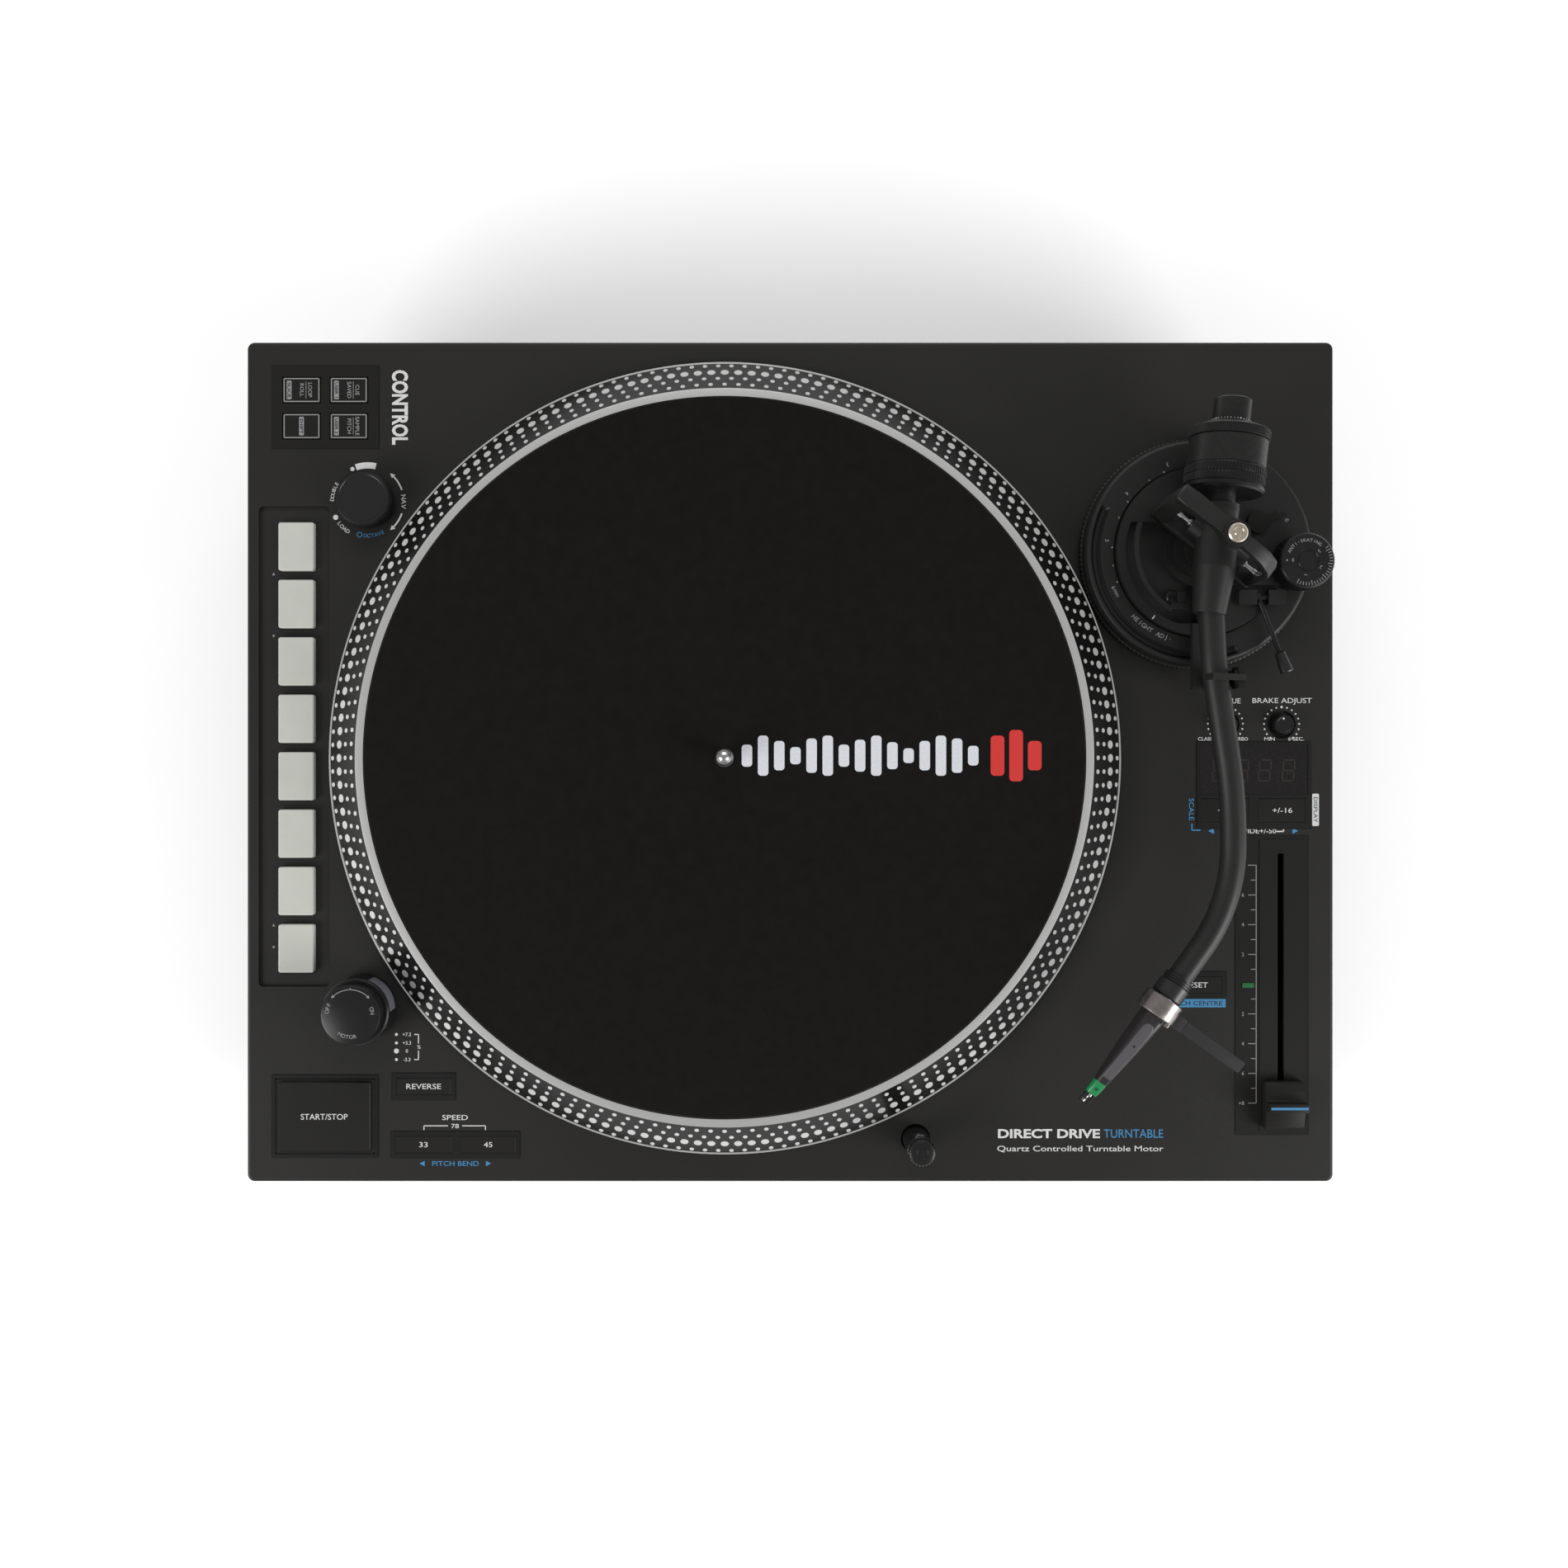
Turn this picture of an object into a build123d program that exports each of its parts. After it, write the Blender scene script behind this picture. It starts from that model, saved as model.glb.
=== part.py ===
"""A direct-drive turntable for records: plinth, platter, S-shaped tonearm and control surface.

Millimetres. +X is the tonearm side, +Y is the back, +Z is up. The origin is on the surface
the feet stand on, under the middle of the plinth.
"""

import os
from math import atan2, cos, degrees, radians, sin

from build123d import *

# ---------------------------------------------------------------- overall sizes
BODY_X = 458.0
BODY_Y = 354.0
HEIGHT = 144.0
PLATE_TOP = 88.0
PLATE_THICK = 6.0
PLATE_UNDER = PLATE_TOP - PLATE_THICK
CORNER_R = 3.0
EDGE_R = 1.6
COVER_THICK = 2.0
FOOT_TOP = 24.0
COVER_UNDER = 26.0
SHELL_UNDER = COVER_UNDER + COVER_THICK
SHELL_INSET = 1.0
WALL = 4.0

# ---------------------------------------------------------------- clearances
RUNNING = 0.05
GAP = 0.3
TRAVEL = 1.5

# ---------------------------------------------------------------- platter and motor
PLATTER_X = -27.5
PLATTER_Y = 1.5
PLATTER_R = 166.0
FLANGE_LOW = 1.5
FLANGE_HIGH = 3.5
RIM_FOOT_R = 164.3
RING_R = 151.5
MAT_R = 147.4
RING_INNER_R = MAT_R + 0.4
RING_HIGH = 17.0
RECESS_HIGH = 15.2
MAT_LOW = RECESS_HIGH + GAP
MAT_HIGH = 18.5
SPINDLE_R = 3.575
SPINDLE_SHAFT_R = 4.0
SPINDLE_NECK_R = 3.4
SPINDLE_SEAT = 18.7
SHAFT_FIT = 0.02
SPINDLE_HIGH = 33.0
SPINDLE_LOW = -38.0
SPINDLE_NOSE = 3.0
PLATTER_WEB = 9.0
MAGNET_INNER_R = 60.0
MAGNET_R = 70.0
COIL_COUNT = 12
COIL_RING_R = 42.0
STATOR_R = 56.0
MOTOR_HOLE_R = 80.0
MOTOR_FLANGE_R = 95.0

# ---------------------------------------------------------------- control surface
# Each button: centre x, centre y, width, depth.
START_STOP = (-195.9, -149.2, 41.8, 31.8)
REVERSE = (-154.3, -136.6, 23.0, 7.3)
SPEED_33 = (-154.4, -161.1, 23.6, 7.4)
SPEED_45 = (-127.2, -161.1, 23.4, 7.4)
RESET = (170.8, -93.9, 21.9, 7.3)
SCALE_8 = (183.3, -20.4, 19.3, 10.3)
SCALE_16 = (207.1, -20.4, 19.5, 10.3)
MODE_SIZE = (15.6, 10.6)
MODE_X = (-205.7, -185.8)
MODE_Y = (156.5, 141.3)
PAD_SIZE = (15.0, 20.3)
PAD_X = -207.8
PAD_FIRST_Y = 90.6
PAD_PITCH = 24.16
PAD_COUNT = 8
PAD_HIGH = 1.4
BUTTON_HIGH = 0.6
BUTTON_DEEP = 8.0
# Each frame: low x, high x, low y, high y, and the buttons inside it.
FRAME_HIGH = 0.3
PAD_TRAY = (-223.9, -194.0, -94.7, 107.7)
TRAY_DEEP = 1.2
DISPLAY = (172.3, 218.1, -13.8, 7.4)
DISPLAY_FRAME = (171.3, 219.1, -27.9, 8.4)
FADER_PLATE = (187.5, 218.0, -156.7, -31.2)
FADER_X = 206.5
FADER_REST_Y = -143.8
FADER_TRAVEL = 100.0
FADER_SLOT_W = 2.6
FADER_CAP = (16.2, 20.0)
FADER_CAP_HIGH = 10.5

# ---------------------------------------------------------------- knobs, lamp and strobe
ENCODER = (-178.0, 109.6)
ENCODER_R = 11.6
ENCODER_HIGH = 9.0
TRIM_KNOBS = {"torque_knob": (183.3, 15.8), "brake_knob": (207.0, 15.7)}
TRIM_R = 4.3
TRIM_WELL_R = 5.9
TRIM_HIGH = 3.6
TOWER = (-179.6, -103.2)
TOWER_R = 13.8
TOWER_HIGH = 14.0
MOTOR_KNOB_R = 12.2
MOTOR_KNOB_HIGH = 21.0
KNOB_STEM_R = 3.0
LAMP = (52.8, -158.8)
LAMP_R = 5.5
LAMP_HOLE_R = 6.2
LAMP_HIGH = 23.6

# ---------------------------------------------------------------- feet
FOOT_X = 188.0
FOOT_Y = 136.0
FOOT_R = 31.0
FOOT_STUD_R = 4.0

# ---------------------------------------------------------------- tonearm
PIVOT_X = 169.5
PIVOT_Y = 87.0
ARM_AXIS = 31.0
ARM_LEAN = 6.5
GIMBAL_TURN = -38.0
RING_OUTER_R = 48.2
RING_BORE_R = 35.1
RING_TOP = 9.0
BASE_R = 35.0
BASE_TOP = 12.0
GUIDE_R = 30.0
PILLAR_R = 12.0
PILLAR_TOP = 16.6
GROOVE_R = 43.0
GROOVE_W = 3.6
TUBE_R = 5.0
SHAFT_R = 5.0
WEIGHT_R = 15.8
HEAD_TURN = -35.5
# Centreline of the tube: the corners that its bends round off, and the radius of each bend.
TUBE_ROUTE = ((167.2, 60.0), (168.2, 38.0), (175.9, -14.0), (176.0, -56.6), (153.1, -88.7))
TUBE_BENDS = (160.0, 200.0, 70.0)
COLLAR_R = 6.3
BAND_R = 8.0
TIP_HIGH = 20.7
DIAL = (208.5, 81.3)
DIAL_R = 11.4
DIAL_TOP = 24.0
DIAL_BOTTOM = 14.3
LOCK_KNOB = (192.4, 98.6)
REST_Y = 33.0
REST_HINGE_X = PIVOT_X + 7.7
REST_HINGE_HIGH = ARM_AXIS - 0.4
LIFT_POST = (158.0, 67.0)
LIFT_TOP = 23.0

# ---------------------------------------------------------------- back of the plinth
BAY = (-150.0, 40.0, 36.0, 74.0)
BAY_DEEP = 16.0
BAY_WALL = 3.0


def z_of(height):
    """The height above the floor of something this far above the top plate."""
    return PLATE_TOP + height


def block(x0, x1, y0, y1, z0, z1, corner=0.0):
    """A box between two corners, with its upright edges rounded."""
    made = Pos((x0 + x1) / 2, (y0 + y1) / 2, (z0 + z1) / 2) * Box(x1 - x0, y1 - y0, z1 - z0)
    if corner:
        made = fillet(made.edges().filter_by(Axis.Z), corner)
    return made


def rod(x, y, z0, z1, radius):
    """An upright cylinder."""
    return Pos(x, y, (z0 + z1) / 2) * Cylinder(radius, z1 - z0)


def turned(profile, x=0.0, y=0.0):
    """A closed profile of (radius, z) points turned about the upright line at x, y."""
    outline = Plane.XZ * Polyline(*[(r, z) for r, z in profile], close=True)
    return Pos(x, y, 0) * revolve(make_face(outline), Axis.Z)


def softened(solid, z, radius):
    """Rounds the edges that lie at height z."""
    edges = [e for e in solid.edges() if abs(e.center().Z - z) < 0.01 and e.length > 1.0]
    return fillet(edges, radius)


def chamfered(solid, z, size):
    """Bevels the edges that lie at height z."""
    edges = [e for e in solid.edges() if abs(e.center().Z - z) < 0.01 and e.length > 1.0]
    return chamfer(edges, size)


def around(box, extra):
    """The low and high sides of a centred rectangle, grown by extra."""
    x, y, w, d = box
    return (x - w / 2 - extra, x + w / 2 + extra, y - d / 2 - extra, y + d / 2 + extra)


MODE_BUTTONS = [(x, y, *MODE_SIZE) for y in MODE_Y for x in MODE_X]
PADS = [(PAD_X, PAD_FIRST_Y - k * PAD_PITCH, *PAD_SIZE) for k in range(PAD_COUNT)]
FRAMES = [
    ((-218.1, -173.7, -166.4, -132.0), [START_STOP]),
    ((-167.6, -141.2, -142.1, -131.2), [REVERSE]),
    ((-167.9, -114.0, -166.6, -155.8), [SPEED_33, SPEED_45]),
    ((158.2, 183.4, -99.3, -88.5), [RESET]),
    ((-218.1, -173.4, 132.1, 166.6), MODE_BUTTONS),
    (DISPLAY_FRAME, [SCALE_8, SCALE_16]),
]


# ================================================================ plinth
def top_plate():
    """The flat deck, with every opening and recess that the controls need."""
    plate = block(
        -BODY_X / 2, BODY_X / 2, -BODY_Y / 2, BODY_Y / 2, PLATE_UNDER, PLATE_TOP, CORNER_R
    )
    plate = softened(plate, PLATE_TOP, EDGE_R)
    cuts = [rod(PLATTER_X, PLATTER_Y, PLATE_UNDER - 1, PLATE_TOP + 1, MOTOR_HOLE_R)]
    cuts.append(rod(PIVOT_X, PIVOT_Y, PLATE_UNDER - 1, PLATE_TOP + 1, GUIDE_R + RUNNING))
    for sides, _ in FRAMES:
        cuts.append(block(*sides, PLATE_UNDER - 1, PLATE_TOP + 1, 0.8))
    cuts.append(block(*PAD_TRAY, PLATE_TOP - TRAY_DEEP, PLATE_TOP + 1, 2.0))
    for pad in PADS:
        cuts.append(block(*around(pad, GAP), PLATE_UNDER - 1, PLATE_TOP + 1, 1.2))
    cuts.append(block(*FADER_PLATE, PLATE_TOP - TRAY_DEEP, PLATE_TOP + 1, 0.8))
    slot = (FADER_X - 4, FADER_X + 4, -151.0, -37.0)
    cuts.append(block(*slot, PLATE_UNDER - 1, PLATE_TOP + 1))
    cuts.append(rod(*ENCODER, PLATE_UNDER - 1, PLATE_TOP + 1, KNOB_STEM_R + RUNNING))
    cuts.append(rod(*TOWER, PLATE_UNDER - 1, PLATE_TOP + 1, KNOB_STEM_R + RUNNING))
    for place in TRIM_KNOBS.values():
        cuts.append(rod(*place, PLATE_TOP - 2.0, PLATE_TOP + 1, TRIM_WELL_R))
        cuts.append(rod(*place, PLATE_UNDER - 1, PLATE_TOP + 1, 2.0 + RUNNING))
    cuts.append(rod(*LAMP, PLATE_UNDER - 1, PLATE_TOP + 1, LAMP_HOLE_R))
    sleeve = rod(*LAMP, PLATE_UNDER - 20, PLATE_UNDER, 8.2)
    sleeve -= rod(*LAMP, PLATE_UNDER - 21, PLATE_UNDER + 1, LAMP_R + RUNNING)
    return plate - cuts + sleeve


def base_shell():
    """The deep hollow body under the deck, with the recessed bay for the sockets at the back."""
    x = BODY_X / 2 - SHELL_INSET
    y = BODY_Y / 2 - SHELL_INSET
    shell = block(-x, x, -y, y, SHELL_UNDER, PLATE_UNDER, CORNER_R)
    shell = chamfered(shell, SHELL_UNDER, 2.0)
    hollow = block(-x + WALL, x - WALL, -y + WALL, y - WALL, SHELL_UNDER - 1, PLATE_UNDER + 1)
    x0, x1, z0, z1 = BAY
    deep = y - BAY_DEEP
    hollow -= block(
        x0 - BAY_WALL, x1 + BAY_WALL, deep - BAY_WALL, y, z0 - BAY_WALL, z1 + BAY_WALL
    )
    for sx in (-1, 1):
        for sy in (-1, 1):
            hollow -= rod(sx * FOOT_X, sy * FOOT_Y, SHELL_UNDER - 2, 58.0, 12.0)
            rib_x = sorted((sx * FOOT_X, sx * (x - 1)))
            rib_y = sy * FOOT_Y
            hollow -= block(*rib_x, rib_y - 3, rib_y + 3, SHELL_UNDER - 2, 58.0)
            hollow -= block(*corner_boss(sx, sy), SHELL_UNDER - 2, 60.0)
    shell -= hollow
    shell -= block(x0, x1, deep, y + 1, z0, z1, 1.5)
    for sx in (-1, 1):
        for sy in (-1, 1):
            stud = FOOT_STUD_R + RUNNING
            shell -= rod(sx * FOOT_X, sy * FOOT_Y, SHELL_UNDER - 1, 54.0, stud)
            shell -= rod(*screw_place(sx, sy), SHELL_UNDER - 1, SHELL_UNDER + 10, 1.6)
    return shell


def corner_boss(sx, sy):
    """The sides of the square post that a corner screw enters."""
    x = BODY_X / 2 - SHELL_INSET
    y = BODY_Y / 2 - SHELL_INSET
    inner = 11.0
    low_x, high_x = sorted((sx * (x - inner), sx * (x + 1)))
    low_y, high_y = sorted((sy * (y - inner), sy * (y + 1)))
    return (low_x, high_x, low_y, high_y)


def screw_place(sx, sy):
    """The centre of a corner screw."""
    return (sx * (BODY_X / 2 - 9.0), sy * (BODY_Y / 2 - 9.0))


def bottom_cover():
    """The sheet that closes the body, with a row of cooling slots and posts for the supply board."""
    x = BODY_X / 2 - SHELL_INSET - 2.5
    y = BODY_Y / 2 - SHELL_INSET - 2.5
    cover = block(-x, x, -y, y, COVER_UNDER, SHELL_UNDER, CORNER_R)
    for sx in (-1, 1):
        for sy in (-1, 1):
            stud = FOOT_STUD_R + RUNNING
            cover -= rod(sx * FOOT_X, sy * FOOT_Y, COVER_UNDER - 1, SHELL_UNDER + 1, stud)
            cover -= rod(*screw_place(sx, sy), COVER_UNDER - 1, SHELL_UNDER + 1, 1.6)
    for k in range(8):
        at = 66.0 + 8.0 * k
        cover -= block(at, at + 3.0, 40.0, 80.0, COVER_UNDER - 1, SHELL_UNDER + 1)
    for post_x in (66.0, 134.0):
        for post_y in (96.0, 146.0):
            cover += rod(post_x, post_y, SHELL_UNDER, 40.0, 3.0)
    return cover


def case_screws():
    """The four corner screws that hold the cover."""
    made = []
    for sx in (-1, 1):
        for sy in (-1, 1):
            head = rod(*screw_place(sx, sy), COVER_UNDER - 1.6, COVER_UNDER, 3.0)
            head -= rod(*screw_place(sx, sy), COVER_UNDER - 2, COVER_UNDER - 0.8, 1.1)
            made.append(head + rod(*screw_place(sx, sy), COVER_UNDER, SHELL_UNDER + 9, 1.6))
    return Compound(made)


def circuit_boards():
    """The two control boards hung from posts under the deck, and the supply board with its coil."""
    under, over = 72.0, 73.6
    left = block(-222.5, -172.0, -160.0, 160.0, under, over)
    left -= rod(*ENCODER, under - 1, over + 1, 7.0)
    left -= rod(*TOWER, under - 1, over + 1, 7.0)
    for x in (-219.0, -176.0):
        for y in (-114.0, 120.0):
            left += rod(x, y, over, PLATE_UNDER, 2.2)
    right = block(186.0, 224.0, -160.0, 26.0, under, over)
    for x, y in ((190.0, -158.0), (221.0, -158.0), (190.0, -30.0), (222.0, 22.0)):
        right += rod(x, y, over, PLATE_UNDER, 1.8)
    right -= block(FADER_X - 5, FADER_X + 5, -152.0, -36.0, under - 1, over + 1)
    supply = block(62.0, 138.0, 92.0, 150.0, 40.0, 41.6)
    supply += block(70.0, 104.0, 98.0, 126.0, 41.6, 66.0, 2.0)
    supply += rod(122.0, 112.0, 41.6, 62.0, 8.0)
    supply += rod(122.0, 134.0, 41.6, 56.0, 6.0)
    return Compound([left, right, supply])


def button_frames():
    """The raised surrounds that the push buttons sit in."""
    made = []
    for sides, inside in FRAMES:
        frame = block(*sides, PLATE_TOP - 4, z_of(FRAME_HIGH), 0.8)
        for button in inside:
            frame -= block(*around(button, GAP), PLATE_TOP - 5, PLATE_TOP + 2)
        if sides == DISPLAY_FRAME:
            frame -= block(*DISPLAY, PLATE_TOP - 2.0, PLATE_TOP + 2)
        made.append(frame)
    return Compound(made)


def display_window():
    """The smoked pane over the tempo digits."""
    return block(*DISPLAY, PLATE_TOP - 2.0, PLATE_TOP)


def fader_plate():
    """The face plate of the pitch fader, with the slot and the centre lamp's hole."""
    plate = block(*FADER_PLATE, PLATE_TOP - TRAY_DEEP, PLATE_TOP + 0.2, 0.8)
    half = FADER_SLOT_W / 2
    plate -= block(
        FADER_X - half, FADER_X + half, -150.0, -38.6, PLATE_TOP - 2, PLATE_TOP + 1
    )
    return plate


def fader_cap():
    """The pitch fader's cap with its raised grip and the blade that goes down the slot."""
    w, d = FADER_CAP
    x0, x1 = FADER_X - w / 2, FADER_X + w / 2
    y0, y1 = FADER_REST_Y - d / 2, FADER_REST_Y + d / 2
    profile = [
        (y0, 1.0), (y1, 1.0), (y1, 4.5), (y1 - 4.0, 6.0), (FADER_REST_Y + 2.0, 6.6),
        (FADER_REST_Y + 2.0, FADER_CAP_HIGH), (FADER_REST_Y - 2.0, FADER_CAP_HIGH),
        (FADER_REST_Y - 2.0, 6.6), (y0 + 4.0, 6.0), (y0, 4.5),
    ]
    outline = Plane.YZ * Polyline(*[(y, z_of(h)) for y, h in profile], close=True)
    cap = Pos(x0, 0, 0) * extrude(make_face(outline), x1 - x0)
    blade = block(
        FADER_X - 0.9, FADER_X + 0.9, FADER_REST_Y - 3, FADER_REST_Y + 3, 76.0, z_of(1.2)
    )
    return cap + blade


def push_button(button, high=BUTTON_HIGH, corner=0.5):
    """A push button whose top edge is bevelled, with its skirt below the deck."""
    made = block(*around(button, 0.0), PLATE_TOP - BUTTON_DEEP, z_of(high), corner)
    return chamfered(made, z_of(high), 0.4)


def start_stop_button():
    """The large start and stop button, with a raised inner panel."""
    made = push_button(START_STOP, 0.4, 1.0)
    x, y, w, d = START_STOP
    panel = block(*around((x, y, w - 3.0, d - 2.4), 0.0), PLATE_TOP, z_of(1.4), 1.0)
    return made + chamfered(panel, z_of(1.4), 0.5)


def pad(button):
    """One rubber trigger pad with soft top edges."""
    made = block(*around(button, 0.0), PLATE_TOP - BUTTON_DEEP, z_of(PAD_HIGH), 1.0)
    return softened(made, z_of(PAD_HIGH), 0.6)


# ================================================================ motor and platter
def motor_stator():
    """The motor's mounting flange, bearing housing and ring of coils."""
    x, y = PLATTER_X, PLATTER_Y
    flange = rod(x, y, PLATE_UNDER - 3, PLATE_UNDER, MOTOR_FLANGE_R)
    housing = rod(x, y, z_of(SPINDLE_LOW) - 5, z_of(-2.5), 11.0)
    core = rod(x, y, PLATE_UNDER, z_of(1.0), 30.0)
    made = flange + housing + core
    coil = Pos(COIL_RING_R, 0, z_of(-0.5)) * Box(2 * (STATOR_R - COIL_RING_R), 12.0, 7.0)
    coil += Pos(31.0, 0, z_of(-2.0)) * Box(10.0, 7.0, 8.0)
    coil = coil & (Pos(0, 0, 82.0) * Cylinder(STATOR_R, 60.0))
    for k in range(COIL_COUNT):
        made += Pos(x, y, 0) * Rot(0, 0, k * 360.0 / COIL_COUNT) * coil
    made -= rod(x, y, z_of(SPINDLE_LOW) - 0.2, z_of(3.0), SPINDLE_SHAFT_R + RUNNING)
    made -= rod(x, y, z_of(-2.5), z_of(3.0), 24.0)
    return made


def platter():
    """The cast platter: sloped rim, raised outer ring, flat recess for the mat, hollow below."""
    web = PLATTER_WEB
    bore = SPINDLE_SHAFT_R + SHAFT_FIT
    profile = [
        (bore, -2.0), (18.0, -2.0), (22.0, web), (138.0, web), (150.0, 4.5),
        (156.0, FLANGE_LOW), (PLATTER_R, FLANGE_LOW), (PLATTER_R, FLANGE_HIGH),
        (RIM_FOOT_R, FLANGE_HIGH), (RING_R, RING_HIGH), (RING_INNER_R, RING_HIGH),
        (RING_INNER_R, RECESS_HIGH), (bore, RECESS_HIGH),
    ]
    made = turned([(r, z_of(h)) for r, h in profile])
    return Pos(PLATTER_X, PLATTER_Y, 0) * made


def rotor_magnet():
    """The ring magnet glued under the platter, outside the coils."""
    ring = rod(PLATTER_X, PLATTER_Y, z_of(-3.0), z_of(PLATTER_WEB), MAGNET_R)
    return ring - rod(PLATTER_X, PLATTER_Y, 80.0, z_of(PLATTER_WEB) + 1, MAGNET_INNER_R)


def spindle():
    """The steel spindle: bearing shaft, relief under the mat, and the pin with its rounded tip."""
    shaft = SPINDLE_SHAFT_R
    neck = SPINDLE_NECK_R
    r = SPINDLE_R
    profile = [
        (0.0, SPINDLE_LOW), (shaft - 0.5, SPINDLE_LOW), (shaft, SPINDLE_LOW + 0.5),
        (shaft, RECESS_HIGH - 0.2), (neck, RECESS_HIGH - 0.2), (neck, SPINDLE_SEAT),
        (r, SPINDLE_SEAT), (r, SPINDLE_HIGH - SPINDLE_NOSE), (r - 0.6, SPINDLE_HIGH - 1.6),
        (r - 1.6, SPINDLE_HIGH - 0.5), (r - 2.6, SPINDLE_HIGH), (0.0, SPINDLE_HIGH),
    ]
    return Pos(PLATTER_X, PLATTER_Y, 0) * turned([(a, z_of(h)) for a, h in profile])


def slipmat():
    """The felt mat that lies in the platter's recess."""
    mat = rod(PLATTER_X, PLATTER_Y, z_of(MAT_LOW), z_of(MAT_HIGH), MAT_R)
    return mat - rod(PLATTER_X, PLATTER_Y, 90.0, 120.0, SPINDLE_R + GAP)


# ================================================================ knobs, lamp, strobe
def encoder_knob():
    """The browse knob: a drum with a bevelled top and a finger dimple, on its stem."""
    made = rod(*ENCODER, z_of(0.5), z_of(ENCODER_HIGH), ENCODER_R)
    made = chamfered(made, z_of(ENCODER_HIGH), 0.8)
    return made + rod(*ENCODER, 76.0, z_of(1.0), KNOB_STEM_R)


def trim_knob(place):
    """A small sunk trimmer knob with a stem."""
    made = rod(*place, z_of(-1.6), z_of(TRIM_HIGH), TRIM_R)
    made = chamfered(made, z_of(TRIM_HIGH), 0.4)
    return made + rod(*place, 76.0, z_of(-1.0), 2.0)


def lens_sector(inner, outer, low, high):
    """The part of a ring round the strobe tower that faces the platter."""
    facing = degrees(atan2(PLATTER_Y - TOWER[1], PLATTER_X - TOWER[0]))
    wide = 70.0
    outline = Plane.XZ * Polyline(
        (inner, z_of(low)), (outer, z_of(low)), (outer, z_of(high)), (inner, z_of(high)),
        close=True,
    )
    ring = revolve(make_face(outline), Axis.Z, wide)
    return Pos(*TOWER, 0) * Rot(0, 0, facing - wide / 2) * ring


def strobe_tower():
    """The turret beside the platter that carries the motor switch and holds the strobe lens."""
    made = rod(*TOWER, PLATE_TOP, z_of(TOWER_HIGH), TOWER_R)
    made = chamfered(made, z_of(TOWER_HIGH), 0.6)
    made -= rod(*TOWER, PLATE_TOP - 1, z_of(TOWER_HIGH) + 1, KNOB_STEM_R + RUNNING)
    return made - lens_sector(10.5, TOWER_R + 1, 2.5, 12.0)


def strobe_lens():
    """The translucent window that the strobe light leaves by."""
    return lens_sector(10.5, TOWER_R, 2.5, 12.0)


def motor_knob():
    """The rotary motor switch on the turret."""
    made = rod(*TOWER, z_of(TOWER_HIGH + 0.4), z_of(MOTOR_KNOB_HIGH), MOTOR_KNOB_R)
    made = chamfered(made, z_of(MOTOR_KNOB_HIGH), 0.7)
    return made + rod(*TOWER, 76.0, z_of(TOWER_HIGH + 1), KNOB_STEM_R)


def target_lamp():
    """The pop-up lamp: a capped tube with a small window that faces the platter."""
    made = rod(*LAMP, PLATE_TOP - 22.0, z_of(LAMP_HIGH), LAMP_R)
    made = chamfered(made, z_of(LAMP_HIGH), 0.6)
    window = block(LAMP[0] - 2.5, LAMP[0] + 2.5, LAMP[1] + LAMP_R - 1.0, LAMP[1] + LAMP_R + 1,
                   z_of(12.0), z_of(18.0))
    return made - window


def foot(sx, sy):
    """One isolating foot: a stepped rubber drum on a metal stud."""
    profile = [
        (0.0, 0.0), (FOOT_R - 4, 0.0), (FOOT_R - 3, 1.0), (FOOT_R - 3, 7.0), (FOOT_R, 9.0),
        (FOOT_R, FOOT_TOP - 2), (FOOT_R - 2, FOOT_TOP), (0.0, FOOT_TOP),
    ]
    made = turned(profile) + rod(0, 0, FOOT_TOP - 1, 50.0, FOOT_STUD_R)
    return Pos(sx * FOOT_X, sy * FOOT_Y, 0) * made


def rear_sockets():
    """The plate of sockets in the bay: two coaxial outputs, a data port, a ground post, mains."""
    x0, x1, z0, z1 = BAY
    wall = BODY_Y / 2 - SHELL_INSET - BAY_DEEP
    plate = block(x0 + 2, x1 - 2, wall, wall + 1.6, z0 + 1, z1 - 1)
    face = wall + 1.6
    made = plate
    level = (z0 + z1) / 2
    back = Rot(-90, 0, 0)
    for x in (-20.0, 0.0):
        jack = Pos(x, face + 3.8, level) * back * Cylinder(4.15, 7.6)
        jack -= Pos(x, face + 5.0, level) * back * Cylinder(1.6, 8.0)
        made += jack + Pos(x, face + 0.8, level) * back * Cylinder(6.0, 1.6)
    made += Pos(22.0, face + 4.5, level) * back * Cylinder(2.0, 9.0)
    made += Pos(22.0, face + 6.0, level) * back * Cylinder(5.0, 4.0)
    port = block(-56.0, -42.0, face, face + 5.0, level - 6.5, level + 6.5)
    port -= block(-53.0, -45.0, face + 1.0, face + 6.0, level - 3.5, level + 3.5)
    made += port
    inlet = block(-142.0, -112.0, face, face + 12.0, level - 11.0, level + 11.0)
    inlet -= block(-139.5, -114.5, face + 1.5, face + 13.0, level - 8.5, level + 8.5)
    for x in (-133.0, -127.0, -121.0):
        inlet += block(x - 1.0, x + 1.0, face + 1.5, face + 9.0, level - 2.5, level + 2.5)
    return made + inlet


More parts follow.
